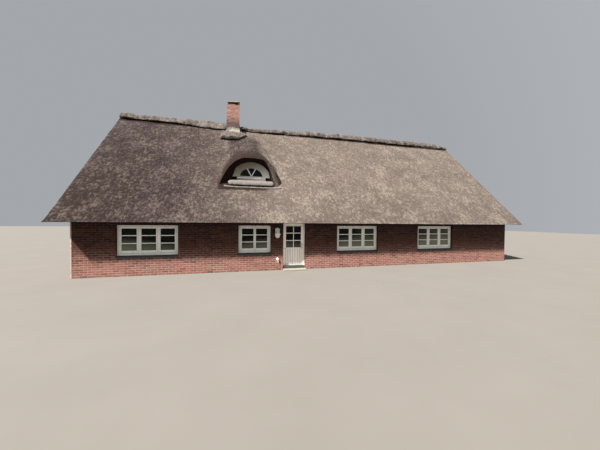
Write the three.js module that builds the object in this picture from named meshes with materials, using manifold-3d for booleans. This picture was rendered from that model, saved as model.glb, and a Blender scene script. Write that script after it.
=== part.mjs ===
// Thatched cottage: a long brick house of one storey, with a loft under a steep thatched roof.
// Millimetres. X runs along the house, the front faces -Y and Z points up. The origin is on the
// ground in the middle of the plan.
import * as THREE from 'three';
import { mergeVertices } from 'three/addons/utils/BufferGeometryUtils.js';
import Module from 'manifold-3d';

const wasm = await Module();
wasm.setup();

// Left between pieces that touch
const GAP = 0.3;

// Walls
const HALF_LENGTH = 10000;
const HALF_DEPTH = 4500;
const WALL = 360;
const WALL_TOP = 2250;
const FLOOR_TOP = 135;
const LOFT_FLOOR = 150;
const LOFT_BEARING = 100;

// Roof: two equal slopes with gables, measured vertically through the thatch
const EAVE = 600;
const VERGE = 440;
const EAVE_HEIGHT = 2010;
const APEX = 7450;
const THATCH = 512;
const RIDGE_TOP = 7690;
const RIDGE_DIP = 7570;
const RIDGE_SLIM = 1000;
const RAFTER = 175;
const RAFTER_WIDTH = 100;
const RAFTER_PITCH = 1000;
const RAFTER_END = 9500;
const SLOPE = (APEX - EAVE_HEIGHT) / (HALF_DEPTH + EAVE);

// Chimney
const CHIMNEY_X = -4625;
const CHIMNEY_WIDTH = 690;
const CHIMNEY_DEPTH = 700;
const CHIMNEY_TOP = 8600;
const FLUE = 330;
const FLUE_BOTTOM = 500;
const CHIMNEY_PIER = 165;
const PIER_WIDTH = 110;
const PIER_INSET = 110;
const CHIMNEY_SLAB = 75;
const FIRE_GAP = 20;
const APRON_X = [-5250, -3870];
const APRON = 170;

// Dormer: an arch swept back into the front slope, with a board and a half-round light
const DORMER_X = -3760;
const DORMER_FACE = -3500;
const DORMER_BASE = 3700;
const DORMER_HALF = 1360;
const DORMER_RISE = 1190;
const DORMER_ROUND = 2.8;
const DORMER_SLOPE = 0.56;
const BOARD_X = -3725;
const BOARD_FACE = -3270;
const BOARD_BASE = 3960;
const BOARD_SPRING = 4050;
const BOARD_HALF = 870;
const BOARD_RISE = 730;
const BOARD = 60;
const FANLIGHT_BASE = 4130;
const FANLIGHT_HALF = 507;
const FANLIGHT_RISE = 370;

// Windows: sizes of the frame, its panes and its place in the wall
const WINDOW_BASE = 750;
const WINDOW_HEIGHT = 1140;
const RECESS = 120;
const FRAME = 70;
const FRAME_SIDE = 140;
const FRAME_HEAD = 125;
const FRAME_FOOT = 185;
const BAR = 50;
const BAR_DEPTH = 40;
const GLASS = 6;
const SILL_DROP = 80;
const SILL_FALL = 30;
const SILL_OUT = 30;
const wide = { lights: 3, mullion: 150, rows: 3 };
const narrow = { lights: 2, mullion: 100, rows: 3 };
const square = { lights: 2, mullion: 100, rows: 2 };

// Door
const DOORWAY = [-2440, -1460];
const DOORWAY_TOP = 2050;
const THRESHOLD = 150;
const DOOR_RECESS = 120;
const JAMB = 55;
const JAMB_DEPTH = 90;
const STOP = 12;
const STOP_DEPTH = 40;
const LEAF = 45;
const LEAF_GAP = 6;
const HINGE_GAP = 5;
const LOCK_GAP = 7;
const KNUCKLE = { radius: 8, height: 45, pin: 5, bore: 5.3, off: 9, plate: 4, reach: 42 };
const HINGE_HEIGHTS = [340, 1090, 1800];
const DOOR_GLASS = { sides: 95, foot: 938, head: 1866, bar: 42, rail: 42 };

const BRICK = 0x9a5a48;
const THATCH_COLOUR = 0x978678;
const WHITE = 0xc9c6ba;
const DARK_GLASS = 0x20242a;
const TIMBER = 0x8a6f50;

const house = new THREE.Group();

// Closed shapes

function box([x0, x1], [y0, y1], [z0, z1]) {
  const shape = new THREE.BoxGeometry(x1 - x0, y1 - y0, z1 - z0);
  return shape.translate((x0 + x1) / 2, (y0 + y1) / 2, (z0 + z1) / 2);
}

// An outline extruded along an axis: it holds (y, z) points for x, (x, z) for y, (x, y) for z
function prism(axis, points, [from, to]) {
  const outline = new THREE.Shape(points.map(([u, v]) => new THREE.Vector2(u, v)));
  const shape = new THREE.ExtrudeGeometry(outline, { depth: to - from, bevelEnabled: false });
  const X = new THREE.Vector3(1, 0, 0);
  const Y = new THREE.Vector3(0, 1, 0);
  const Z = new THREE.Vector3(0, 0, 1);
  const turn = new THREE.Matrix4();
  if (axis === 'x') turn.makeBasis(Y, Z, X).setPosition(from, 0, 0);
  if (axis === 'y') turn.makeBasis(X, Z, Y.clone().negate()).setPosition(0, to, 0);
  if (axis === 'z') turn.makeTranslation(0, 0, from);
  return shape.applyMatrix4(turn);
}

// Two outlines of as many (x, z) points, which go round from left to right over the top, joined
// front to back
function loft(front, yFront, back, yBack) {
  const count = front.length;
  const points = [...front.map(([x, z]) => [x, yFront, z]), ...back.map(([x, z]) => [x, yBack, z])];
  const faces = [];
  for (let i = 0; i < count; i += 1) {
    const next = (i + 1) % count;
    faces.push(i, next, count + i, next, count + next, count + i);
  }
  const outline = front.map(([x, z]) => new THREE.Vector2(x, z));
  for (const [a, b, c] of THREE.ShapeUtils.triangulateShape(outline, [])) {
    faces.push(a, b, c, count + a, count + c, count + b);
  }
  const shape = new THREE.BufferGeometry();
  shape.setAttribute('position', new THREE.Float32BufferAttribute(points.flat(), 3));
  shape.setIndex(faces);
  return shape;
}

// Booleans

function solid(shape) {
  const bare = new THREE.BufferGeometry();
  bare.setAttribute('position', shape.getAttribute('position').clone());
  if (shape.index) bare.setIndex(shape.index.clone());
  const merged = mergeVertices(bare, 0.001);
  return new wasm.Manifold(new wasm.Mesh({
    numProp: 3,
    vertProperties: merged.getAttribute('position').array,
    triVerts: Uint32Array.from(merged.index.array),
  }));
}

function surface(body) {
  const mesh = body.getMesh();
  const shape = new THREE.BufferGeometry();
  shape.setAttribute('position', new THREE.BufferAttribute(mesh.vertProperties, 3));
  shape.setIndex(new THREE.BufferAttribute(mesh.triVerts, 1));
  return shape;
}

function join(...shapes) {
  return surface(shapes.map(solid).reduce((whole, next) => whole.add(next)));
}

function cut(shape, ...cutters) {
  return surface(cutters.map(solid).reduce((whole, next) => whole.subtract(next), solid(shape)));
}

function overlap(...shapes) {
  return surface(shapes.map(solid).reduce((whole, next) => whole.intersect(next)));
}

function piece(name, shape, color, roughness = 0.9, metalness = 0) {
  const mesh = new THREE.Mesh(shape, new THREE.MeshStandardMaterial({ color, roughness, metalness }));
  mesh.name = name;
  house.add(mesh);
  return mesh;
}

// The roof's planes

const outer = (y) => APEX - Math.abs(y) * SLOPE;
const under = (y) => outer(y) - THATCH;
// How far from the ridge the thatch's underside comes down to a height
const reach = (z) => (APEX - THATCH - z) / SLOPE;

// Windows are drawn in a frame of their own: x across, y inward from the wall's outer face, z up
// from the frame's foot. A place is where that frame stands and how it turns.

function place(x, y, z, turn = 0) {
  return new THREE.Matrix4().makeRotationZ(turn).setPosition(x, y, z);
}

function paneGrid(width, height, { lights, mullion, rows }) {
  const paneWidth = (width - 2 * FRAME_SIDE - (lights - 1) * mullion) / lights;
  const paneHeight = (height - FRAME_HEAD - FRAME_FOOT - (rows - 1) * BAR) / rows;
  const panes = [];
  for (let column = 0; column < lights; column += 1) {
    const x = -width / 2 + FRAME_SIDE + column * (paneWidth + mullion);
    for (let row = 0; row < rows; row += 1) {
      const z = FRAME_FOOT + row * (paneHeight + BAR);
      panes.push([[x, x + paneWidth], [z, z + paneHeight]]);
    }
  }
  return panes;
}

function windowPieces({ name, at, width, height = WINDOW_HEIGHT, grid }) {
  const half = width / 2 - GAP;
  const face = RECESS;
  const rebate = face + BAR_DEPTH;
  const back = face + FRAME;
  const inside = [-width / 2 + FRAME_SIDE / 2, width / 2 - FRAME_SIDE / 2];
  const inUp = [FRAME_FOOT / 2, height - FRAME_HEAD / 2];
  const frame = cut(
    box([-half, half], [face, back], [GAP, height - GAP]),
    box(inside, [rebate, back + 1], inUp),
    ...paneGrid(width, height, grid).map(([x, z]) => box(x, [face - 1, rebate + 1], z)),
  );
  piece(`${name}_frame`, frame.applyMatrix4(at), WHITE, 0.5);
  const glass = box(
    [inside[0] + GAP, inside[1] - GAP],
    [rebate + GAP, rebate + GAP + GLASS],
    [inUp[0] + GAP, inUp[1] - GAP],
  );
  piece(`${name}_glass`, glass.applyMatrix4(at), DARK_GLASS, 0.1);
}

// The opening in the wall: the window's own, with a notch for its sill
function windowHole({ at, width, height = WINDOW_HEIGHT }) {
  const through = box([-width / 2, width / 2], [-100, WALL + 100], [0, height]);
  const notch = box([-width / 2, width / 2], [-100, RECESS], [-SILL_DROP, 0]);
  return join(through, notch).applyMatrix4(at);
}

// A sill as wide as the window, sloping outwards
function sill({ at, width }, gap) {
  const profile = [
    [-SILL_OUT, -SILL_DROP + gap], [RECESS - gap, -SILL_DROP + gap],
    [RECESS - gap, -gap], [-SILL_OUT, -SILL_FALL],
  ];
  const half = width / 2 - gap;
  return prism('x', profile, [-half, half]).applyMatrix4(at);
}

const slateSill = (frame) => piece(`${frame.name}_sill`, sill(frame, GAP), 0x3d4248, 0.7);
// On the sides away from the front the sill is a sloping course of the wall itself
const brickSill = (frame) => sill(frame, 0);

const frontWindow = (name, from, to, grid) => ({
  name, grid, width: to - from, at: place((from + to) / 2, -HALF_DEPTH, WINDOW_BASE),
});
const leftWindows = [
  frontWindow('window_1', -8640, -6550, wide),
  frontWindow('window_2', -4295, -2965, narrow),
];
const rightWindows = [
  frontWindow('window_3', 32, 2112, wide),
  frontWindow('window_4', 4330, 6450, wide),
];
const backWindows = [-6400, 0, 6400].map((x, index) => ({
  name: `back_window_${index + 1}`,
  grid: wide,
  width: 2090,
  at: place(x, HALF_DEPTH, WINDOW_BASE, Math.PI),
}));
const gableWindows = (side, x, turn) => [
  { name: `${side}_window_low`, grid: narrow, width: 1330, at: place(x, 0, WINDOW_BASE, turn) },
  { name: `${side}_window_loft`, grid: square, width: 1100, height: 1000, at: place(x, 0, 3500, turn) },
];
const leftGableWindows = gableWindows('left', -HALF_LENGTH, -Math.PI / 2);
const rightGableWindows = gableWindows('right', HALF_LENGTH, Math.PI / 2);

// Walls

const INNER = HALF_DEPTH - WALL;
const longWallProfile = (side) => [
  [side * HALF_DEPTH, 0], [side * INNER, 0], [side * INNER, WALL_TOP],
  [side * reach(WALL_TOP + GAP), WALL_TOP], [side * HALF_DEPTH, under(HALF_DEPTH) - GAP],
];

function frontWall(name, along, windows) {
  const wall = prism('x', longWallProfile(-1), along);
  piece(name, cut(wall, ...windows.map(windowHole)), BRICK);
  windows.forEach(slateSill);
}
frontWall('front_wall_left', [-HALF_LENGTH, DOORWAY[0]], leftWindows);
frontWall('front_wall_right', [DOORWAY[1], HALF_LENGTH], rightWindows);

const overDoor = overlap(
  prism('x', longWallProfile(-1), [DOORWAY[0] + GAP, DOORWAY[1] - GAP]),
  box(DOORWAY, [-HALF_DEPTH - 1, -INNER + 1], [DOORWAY_TOP, WALL_TOP + 1]),
);
piece('front_wall_over_door', overDoor, BRICK);

const backWall = cut(
  prism('x', longWallProfile(1), [-HALF_LENGTH, HALF_LENGTH]),
  ...backWindows.map(windowHole),
);
piece('back_wall', join(backWall, ...backWindows.map(brickSill)), BRICK);

// A gable stands between the long walls and spreads over their ends up to the thatch
function gableWall(name, along, windows) {
  const foot = INNER - GAP;
  const ledge = WALL_TOP + GAP;
  const corner = reach(ledge + GAP);
  const wall = prism('x', [
    [-foot, 0], [foot, 0], [foot, ledge], [corner, ledge],
    [0, under(0) - GAP], [-corner, ledge], [-foot, ledge],
  ], along);
  piece(name, join(cut(wall, ...windows.map(windowHole)), ...windows.map(brickSill)), BRICK);
}
gableWall('left_gable_wall', [-HALF_LENGTH, -HALF_LENGTH + WALL], leftGableWindows);
gableWall('right_gable_wall', [HALF_LENGTH - WALL, HALF_LENGTH], rightGableWindows);

// Floors, each with a hole for the chimney

const chimneyPlan = (margin) => [
  [CHIMNEY_X - CHIMNEY_WIDTH / 2 - margin, CHIMNEY_X + CHIMNEY_WIDTH / 2 + margin],
  [-CHIMNEY_DEPTH / 2 - margin, CHIMNEY_DEPTH / 2 + margin],
];
const chimneyHole = (margin) => box(...chimneyPlan(margin), [-100, CHIMNEY_TOP]);
const roomX = [-HALF_LENGTH + WALL + GAP, HALF_LENGTH - WALL - GAP];

const groundFloor = box(roomX, [-INNER + GAP, INNER - GAP], [0, FLOOR_TOP]);
piece('ground_floor', cut(groundFloor, chimneyHole(GAP)), 0xa89a86);

const bearing = INNER + LOFT_BEARING;
const loftTop = WALL_TOP + GAP + LOFT_FLOOR;
const loftFloor = box(roomX, [-bearing, bearing], [WALL_TOP + GAP, loftTop]);
piece('loft_floor', cut(loftFloor, chimneyHole(FIRE_GAP)), TIMBER);

// Dormer outlines

// The thatch's arch: straight at the foot and round at the top
function dormerArch(half, rise, foot, steps = 24) {
  const points = [[DORMER_X - half, foot]];
  for (let i = 0; i <= steps; i += 1) {
    const u = -Math.cos(Math.PI * i / steps);
    points.push([DORMER_X + half * u, DORMER_BASE + rise * (1 - Math.abs(u) ** DORMER_ROUND)]);
  }
  points.push([DORMER_X + half, foot]);
  return points;
}

// A half ellipse on short upright sides
function boardArch(half, rise, foot, spring, steps = 24) {
  const points = [[BOARD_X - half, foot]];
  for (let i = 0; i <= steps; i += 1) {
    const angle = Math.PI * (1 - i / steps);
    points.push([BOARD_X + half * Math.cos(angle), spring + rise * Math.sin(angle)]);
  }
  points.push([BOARD_X + half, foot]);
  return points;
}

// Thatch

const thatchX = [-HALF_LENGTH - VERGE, HALF_LENGTH + VERGE];
const eaveY = HALF_DEPTH + EAVE;
const slopeProfile = (side) => [
  [side * (eaveY - 40), outer(eaveY - 40)], [side * eaveY, 2030], [side * (eaveY - 5), 2005],
  [side * (eaveY - 50), 1994], [side * reach(2000), 2000],
  [side * GAP, under(GAP)], [side * GAP, outer(GAP)],
];

const slab = prism('x', slopeProfile(-1), thatchX);
const bump = overlap(
  prism('y', dormerArch(DORMER_HALF, DORMER_RISE, DORMER_BASE - 400), [DORMER_FACE, 0])
    .applyMatrix4(new THREE.Matrix4().set(
      1, 0, 0, 0,
      0, 1, 0, 0,
      0, DORMER_SLOPE, 1, -DORMER_SLOPE * DORMER_FACE,
      0, 0, 0, 1,
    )),
  prism('x', [
    [DORMER_FACE - 1, outer(DORMER_FACE) - 100], [-GAP, outer(GAP) - 100],
    [-GAP, outer(GAP)], [DORMER_FACE - 1, APEX],
  ], thatchX),
);
const hollow = loft(
  dormerArch(DORMER_HALF - 60, DORMER_RISE - 60, DORMER_BASE - 300), DORMER_FACE - 1,
  boardArch(BOARD_HALF + GAP, BOARD_RISE + GAP, BOARD_BASE - 300, BOARD_SPRING), BOARD_FACE - GAP,
);
const tunnel = prism(
  'y',
  boardArch(BOARD_HALF + GAP, BOARD_RISE + GAP, BOARD_BASE - GAP, BOARD_SPRING),
  [BOARD_FACE - 1, -1900],
);
piece(
  'thatch_front',
  cut(join(slab, cut(bump, hollow)), tunnel, chimneyHole(GAP)),
  THATCH_COLOUR,
);
piece('thatch_back', cut(prism('x', slopeProfile(1), thatchX), chimneyHole(GAP)), THATCH_COLOUR);

// Ridge

// A section of the ridge's cover: half of it goes from its foot on the thatch out to the
// undercut lip, and then up to the top
function capOutline(half, top) {
  const foot = half[0][0];
  const right = [[foot, outer(foot) + GAP], ...half.slice(1)];
  return [...right.map(([y, z]) => [-y, z]), [0, top], ...right.reverse(), [0, APEX + GAP]];
}
const broadCap = capOutline(
  [[220], [325, 7190], [345, 7240], [305, 7370], [215, 7520], [110, 7640]], RIDGE_TOP);
const dippedCap = capOutline(
  [[220], [325, 7190], [345, 7240], [305, 7340], [215, 7450], [110, 7540]], RIDGE_DIP);
const slimCap = capOutline(
  [[100], [195, 7340], [215, 7385], [190, 7470], [130, 7580], [65, 7660]], RIDGE_TOP);
piece('ridge_cap_left', prism('x', broadCap, [thatchX[0], APRON_X[0] - GAP]), 0x9c8c80);
piece('ridge_cap_right', join(
  loft(dippedCap, APRON_X[1] + GAP, slimCap, RIDGE_SLIM).rotateZ(-Math.PI / 2),
  prism('x', slimCap, [RIDGE_SLIM, thatchX[1]]),
), 0x9c8c80);

// The apron: a round-edged skirt over both slopes at the chimney's foot
function apronPlan(steps = 14) {
  const edge = (side) => Array.from({ length: steps + 1 }, (_, i) => {
    const t = side > 0 ? 1 - i / steps : i / steps;
    const x = APRON_X[0] + (APRON_X[1] - APRON_X[0]) * t;
    return [x, side * (830 + 260 * Math.sin(Math.PI * t))];
  });
  return [...edge(-1), ...edge(1)];
}
const apronLayer = [
  [-1300, outer(1300) + GAP], [0, APEX + GAP], [1300, outer(1300) + GAP],
  [1300, outer(1300) + APRON], [230, outer(230) + APRON + 50], [0, RIDGE_TOP],
  [-230, outer(230) + APRON + 50], [-1300, outer(1300) + APRON],
];
piece(
  'chimney_apron',
  cut(
    overlap(prism('x', apronLayer, APRON_X), prism('z', apronPlan(), [5000, 8000])),
    chimneyHole(GAP),
  ),
  0xa09488,
);

// Rafters stand on the loft floor, and a purlin and trimmers join them round the openings

function rafters(name, side, openings, extra) {
  const foot = loftTop + GAP;
  const strip = (from, to) => [
    [side * from, under(from) - GAP], [side * to, under(to) - GAP],
    [side * to, under(to) - RAFTER], [side * from, under(from) - RAFTER],
  ];
  const profile = [
    [side * reach(foot + GAP), foot], [side * reach(foot + RAFTER), foot],
    [side * GAP, under(GAP) - RAFTER], [side * GAP, under(GAP) - GAP],
  ];
  const beams = [];
  for (let x = -RAFTER_END; x <= RAFTER_END; x += RAFTER_PITCH) {
    beams.push(prism('x', profile, [x - RAFTER_WIDTH / 2, x + RAFTER_WIDTH / 2]));
  }
  beams.push(prism('x', strip(1780, 1660), [-RAFTER_END, RAFTER_END]));
  extra.forEach(([from, to, along]) => beams.push(prism('x', strip(from, to), along)));
  piece(name, cut(join(...beams), ...openings), TIMBER);
}
const lightShaft = box(
  [BOARD_X - BOARD_HALF - 30, BOARD_X + BOARD_HALF + 30],
  [-3400, -1785],
  [BOARD_BASE - 60, BOARD_SPRING + BOARD_RISE + 60],
);
rafters('rafters_front', -1, [lightShaft, chimneyHole(FIRE_GAP)], [[3000, 2880, [-5500, -2500]]]);
rafters('rafters_back', 1, [chimneyHole(FIRE_GAP)], []);

// Chimney

const flue = box(
  [CHIMNEY_X - FLUE / 2, CHIMNEY_X + FLUE / 2],
  [-FLUE / 2, FLUE / 2],
  [FLUE_BOTTOM, CHIMNEY_TOP + 1],
);
piece('chimney_stack', cut(box(...chimneyPlan(0), [0, CHIMNEY_TOP]), flue), 0xb27a66);

const slabBottom = CHIMNEY_TOP + GAP + CHIMNEY_PIER;
const slabPlan = chimneyPlan(0);
const piers = [];
for (const sx of [-1, 1]) {
  for (const sy of [-1, 1]) {
    const x = CHIMNEY_X + sx * (CHIMNEY_WIDTH / 2 - PIER_INSET);
    const y = sy * (CHIMNEY_DEPTH / 2 - PIER_INSET);
    const half = PIER_WIDTH / 2;
    piers.push(box([x - half, x + half], [y - half, y + half], [CHIMNEY_TOP + GAP, slabBottom + 10]));
  }
}
piece(
  'chimney_cap',
  join(box(...slabPlan, [slabBottom, slabBottom + CHIMNEY_SLAB]), ...piers),
  0xb9b2a4,
);

// Dormer window

const boardY = [BOARD_FACE, BOARD_FACE + BOARD];
const fanlight = (margin) => boardArch(
  FANLIGHT_HALF + margin, FANLIGHT_RISE + margin, FANLIGHT_BASE - margin, FANLIGHT_BASE, 20,
);
const fanBar = (lean) => new THREE.BoxGeometry(28, BOARD - 20, 2 * FANLIGHT_RISE + 40)
  .rotateY(lean)
  .translate(BOARD_X, (boardY[0] + boardY[1]) / 2, FANLIGHT_BASE - 10);
const bars = overlap(
  join(fanBar(0.5), fanBar(-0.5)),
  prism('y', fanlight(8), boardY),
);
const board = prism('y', boardArch(BOARD_HALF, BOARD_RISE, BOARD_BASE, BOARD_SPRING), boardY);
const cutBoard = cut(board, prism('y', fanlight(0), [boardY[0] - 1, boardY[1] + 1]));
piece('dormer_board', join(cutBoard, bars), WHITE, 0.5);
const paneY = [boardY[1] + GAP, boardY[1] + GAP + GLASS];
piece('dormer_glass', prism('y', fanlight(25), paneY), DARK_GLASS, 0.1);

// The roll of thatch under the dormer's board, wider at its front
const rollBack = BOARD_FACE - 15;
const sillRoll = overlap(
  prism('x', [
    [rollBack, outer(rollBack) + GAP], [rollBack, 3955], [-3400, 3940], [-3520, 3890],
    [-3590, 3820], [-3600, 3750], [-3585, 3700], [-3480, outer(3480) + GAP],
  ], [DORMER_X - 1100, DORMER_X + 1100]),
  prism('z', [
    [BOARD_X - 845, rollBack], [BOARD_X - 1050, -3500], [BOARD_X - 1050, -3700],
    [BOARD_X + 1050, -3700], [BOARD_X + 1050, -3500], [BOARD_X + 845, rollBack],
  ], [3000, 4500]),
);
piece('dormer_sill', sillRoll, 0xb0a091);

// Windows

[...leftWindows, ...rightWindows, ...backWindows, ...leftGableWindows, ...rightGableWindows]
  .forEach(windowPieces);

// Door

const frameFace = -HALF_DEPTH + DOOR_RECESS;
const frameBack = frameFace + JAMB_DEPTH;
const leafBack = frameBack;
const leafFace = leafBack - LEAF;
const inDoorway = [DOORWAY[0] + GAP, DOORWAY[1] - GAP];
const leafX = [DOORWAY[0] + JAMB + HINGE_GAP, DOORWAY[1] - JAMB - LOCK_GAP];
const leafZ = [THRESHOLD + LEAF_GAP, DOORWAY_TOP - JAMB - LEAF_GAP];

// Lift-off hinges behind the leaf: the frame's knuckle has the pin, and the leaf's turns on it
const hingeX = leafX[0] - HINGE_GAP / 2;
const hingeY = leafBack + KNUCKLE.off;
function post(radius, [from, to]) {
  return new THREE.CylinderGeometry(radius, radius, to - from, 16)
    .rotateX(Math.PI / 2)
    .translate(hingeX, hingeY, (from + to) / 2);
}
const plateY = [leafBack - 0.5, leafBack + KNUCKLE.plate];
const fixedKnuckles = HINGE_HEIGHTS.flatMap((z) => [
  post(KNUCKLE.radius, [z - KNUCKLE.height, z]),
  post(KNUCKLE.pin, [z - 5, z + KNUCKLE.height - 10]),
  box([hingeX - KNUCKLE.reach, hingeX], plateY, [z - KNUCKLE.height, z]),
]);
const turningKnuckles = HINGE_HEIGHTS.flatMap((z) => {
  const height = [z + GAP, z + KNUCKLE.height];
  return [post(KNUCKLE.radius, height), box([hingeX, hingeX + KNUCKLE.reach], plateY, height)];
});
const bores = HINGE_HEIGHTS.map((z) => post(KNUCKLE.bore, [z - 1, z + KNUCKLE.height - 5]));

const doorFrame = cut(
  box(inDoorway, [frameFace, frameBack], [THRESHOLD + GAP, DOORWAY_TOP - GAP]),
  box([DOORWAY[0] + JAMB, DOORWAY[1] - JAMB], [frameFace + STOP_DEPTH, frameBack + 1],
    [0, DOORWAY_TOP - JAMB]),
  box([DOORWAY[0] + JAMB + STOP, DOORWAY[1] - JAMB - STOP], [frameFace - 1, frameBack],
    [0, DOORWAY_TOP - JAMB - STOP]),
);
piece('door_frame', join(doorFrame, ...fixedKnuckles), WHITE, 0.5);

const glassX = [leafX[0] + DOOR_GLASS.sides, leafX[1] - DOOR_GLASS.sides];
const doorPanes = [];
const doorPaneWidth = (glassX[1] - glassX[0] - DOOR_GLASS.bar) / 2;
const doorPaneHeight = (DOOR_GLASS.head - DOOR_GLASS.foot - 2 * DOOR_GLASS.rail) / 3;
for (let column = 0; column < 2; column += 1) {
  for (let row = 0; row < 3; row += 1) {
    const x = glassX[0] + column * (doorPaneWidth + DOOR_GLASS.bar);
    const z = DOOR_GLASS.foot + row * (doorPaneHeight + DOOR_GLASS.rail);
    doorPanes.push(box([x, x + doorPaneWidth], [leafFace - 1, leafBack], [z, z + doorPaneHeight]));
  }
}
const glassFace = leafFace + LEAF / 2;
const handleX = leafX[1] - DOOR_GLASS.sides / 2;
const handleZ = THRESHOLD + 920;
const SPINDLE = 6;
const leaf = cut(
  box(leafX, [leafFace, leafBack], leafZ),
  box([glassX[0] - 10, glassX[1] + 10], [glassFace, leafBack + 1],
    [DOOR_GLASS.foot - 10, DOOR_GLASS.head + 10]),
  ...doorPanes,
  box([handleX - SPINDLE - GAP, handleX + SPINDLE + GAP], [leafFace - 1, leafBack + 1],
    [handleZ - SPINDLE - GAP, handleZ + SPINDLE + GAP]),
);
piece('door_leaf', cut(join(leaf, ...turningKnuckles), ...bores), WHITE, 0.5);
const doorGlass = box(
  [glassX[0] - 10 + GAP, glassX[1] + 10 - GAP],
  [glassFace + GAP, glassFace + GAP + GLASS],
  [DOOR_GLASS.foot - 10 + GAP, DOOR_GLASS.head + 10 - GAP],
);
piece('door_glass', doorGlass, DARK_GLASS, 0.1);

// A plate and a lever on each face of the leaf, on one square spindle
const handle = [box(
  [handleX - SPINDLE, handleX + SPINDLE],
  [leafFace - 45, leafBack + 45],
  [handleZ - SPINDLE, handleZ + SPINDLE],
)];
for (const [y, out] of [[leafFace - GAP, -1], [leafBack + GAP, 1]]) {
  const between = (near, far) => [y + out * near, y + out * far].sort((a, b) => a - b);
  handle.push(box([handleX - 20, handleX + 20], between(0, 6), [handleZ - 130, handleZ + 50]));
  handle.push(box([handleX - 115, handleX + 9], between(35, 50), [handleZ - 9, handleZ + 9]));
}
piece('door_handle', join(...handle), 0x77777a, 0.4, 0.8);

const threshold = box(inDoorway, [-HALF_DEPTH + 30, -INNER - GAP], [0, THRESHOLD]);
piece('door_threshold', threshold, 0x5d6660, 0.8);
const step = box(DOORWAY, [-HALF_DEPTH - 320, -HALF_DEPTH - GAP], [0, 50]);
piece('door_step', step, 0xd8cfc0, 0.9);

// Things fixed to the front wall

// A lantern of eight sides on a short arm and a wall plate
const LAMP_X = -2700;
const wallFace = -HALF_DEPTH - GAP;
const lantern = new THREE.LatheGeometry([
  [0, 0], [50, 18], [90, 70], [112, 145], [114, 200], [96, 232], [84, 250], [92, 300],
  [98, 400], [45, 435], [0, 450],
].map(([r, z]) => new THREE.Vector2(r, z)), 8).rotateX(Math.PI / 2);
lantern.translate(LAMP_X, -HALF_DEPTH - 130, 1370);
piece('wall_lamp', join(
  lantern,
  box([LAMP_X - 45, LAMP_X + 45], [wallFace - 15, wallFace], [1500, 1720]),
  box([LAMP_X - 12, LAMP_X + 12], [-HALF_DEPTH - 120, wallFace - 5], [1600, 1624]),
), 0xd0cbc2, 0.6);

// A round white outlet with a short spout
const TAP_X = -2680;
const TAP_Z = 470;
const tapBody = new THREE.CylinderGeometry(55, 60, 60, 20).translate(TAP_X, wallFace - 30, TAP_Z);
const tapSpout = new THREE.CylinderGeometry(14, 14, 110, 10)
  .rotateX(Math.PI / 2)
  .translate(TAP_X + 20, wallFace - 45, TAP_Z - 75);
piece('garden_tap', join(tapBody, tapSpout), 0xe0d8cc, 0.5);

const strip = box([-HALF_LENGTH - 24, -HALF_LENGTH + 22], [wallFace - 20, wallFace], [0, 1985]);
piece('corner_strip', strip, 0xd5d2c8, 0.6);

export default house;
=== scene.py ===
"""Thatched cottage: reed, brickwork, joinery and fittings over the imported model, in metres.

X runs along the house, the front faces -Y and Z points up. The origin is on the ground in the
middle of the plan. Each piece is a surface worked out from a formula, which its docstring gives.
"""
import math
from itertools import product

import bpy
import numpy as np
from bpy.props import FloatProperty, FloatVectorProperty, IntProperty, PointerProperty
from mathutils import Matrix, Vector


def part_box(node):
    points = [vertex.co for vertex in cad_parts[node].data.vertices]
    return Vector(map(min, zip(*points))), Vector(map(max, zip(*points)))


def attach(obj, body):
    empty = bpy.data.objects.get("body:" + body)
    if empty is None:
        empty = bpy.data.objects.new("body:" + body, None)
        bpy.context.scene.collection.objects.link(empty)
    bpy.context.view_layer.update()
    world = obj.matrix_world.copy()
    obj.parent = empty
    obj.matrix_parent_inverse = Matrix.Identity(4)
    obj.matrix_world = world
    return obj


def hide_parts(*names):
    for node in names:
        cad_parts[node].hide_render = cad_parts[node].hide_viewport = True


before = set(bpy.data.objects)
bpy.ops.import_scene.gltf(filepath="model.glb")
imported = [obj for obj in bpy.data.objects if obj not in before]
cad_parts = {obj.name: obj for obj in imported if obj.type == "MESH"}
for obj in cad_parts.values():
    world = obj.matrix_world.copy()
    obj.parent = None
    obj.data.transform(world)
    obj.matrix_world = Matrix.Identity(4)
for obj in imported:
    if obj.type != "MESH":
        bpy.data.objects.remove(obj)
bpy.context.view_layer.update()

bl_info = {
    "name": "Thatched cottage",
    "version": (1, 0, 0),
    "blender": (4, 5, 0),
    "location": "3D View > Sidebar > Cottage",
    "description": "Dresses a thatched brick cottage in reed, bricks, joinery and fittings",
    "category": "Add Mesh",
}

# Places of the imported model, in metres
HALF_LENGTH, HALF_DEPTH = 10.0, 4.5
VERGE_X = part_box("thatch_front")[1].x
APEX, SLOPE, THATCH = 7.45, 5.44 / 5.1, 0.512
EAVE_CUT, EAVE_Y = 2.0, 5.06
CHIMNEY_X, CHIMNEY_HALF, CHIMNEY_DEEP, CHIMNEY_TOP = -4.625, 0.345, 0.35, 8.6
APRON_X = (-5.25, -3.87)
DORMER_X, DORMER_Y, DORMER_BASE, DORMER_HALF, DORMER_RISE = -3.76, -3.5, 3.7, 1.36, 1.19
DORMER_ROUND, DORMER_SLOPE = 2.8, 0.56
BOARD_X, BOARD_Y, BOARD_BASE, BOARD_SPRING = -3.725, -3.27, 3.96, 4.05
BOARD_HALF, BOARD_RISE = 0.87, 0.73
LIGHT_BASE, LIGHT_HALF, LIGHT_RISE = 4.13, 0.507, 0.37
RECESS = 0.12
FRAME_SIDE, FRAME_HEAD, FRAME_FOOT, CAD_BAR = 0.14, 0.125, 0.185, 0.05
SILL_DROP = 0.08
DOORWAY = (-2.44, -1.46, 2.05)
LEAF_LEFT, LEAF_RIGHT, LEAF_FOOT, LEAF_HEAD = -2.38, -1.522, 0.156, 1.989
LEAF_FACE, LEAF_BACK = -4.335, -4.29

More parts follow.
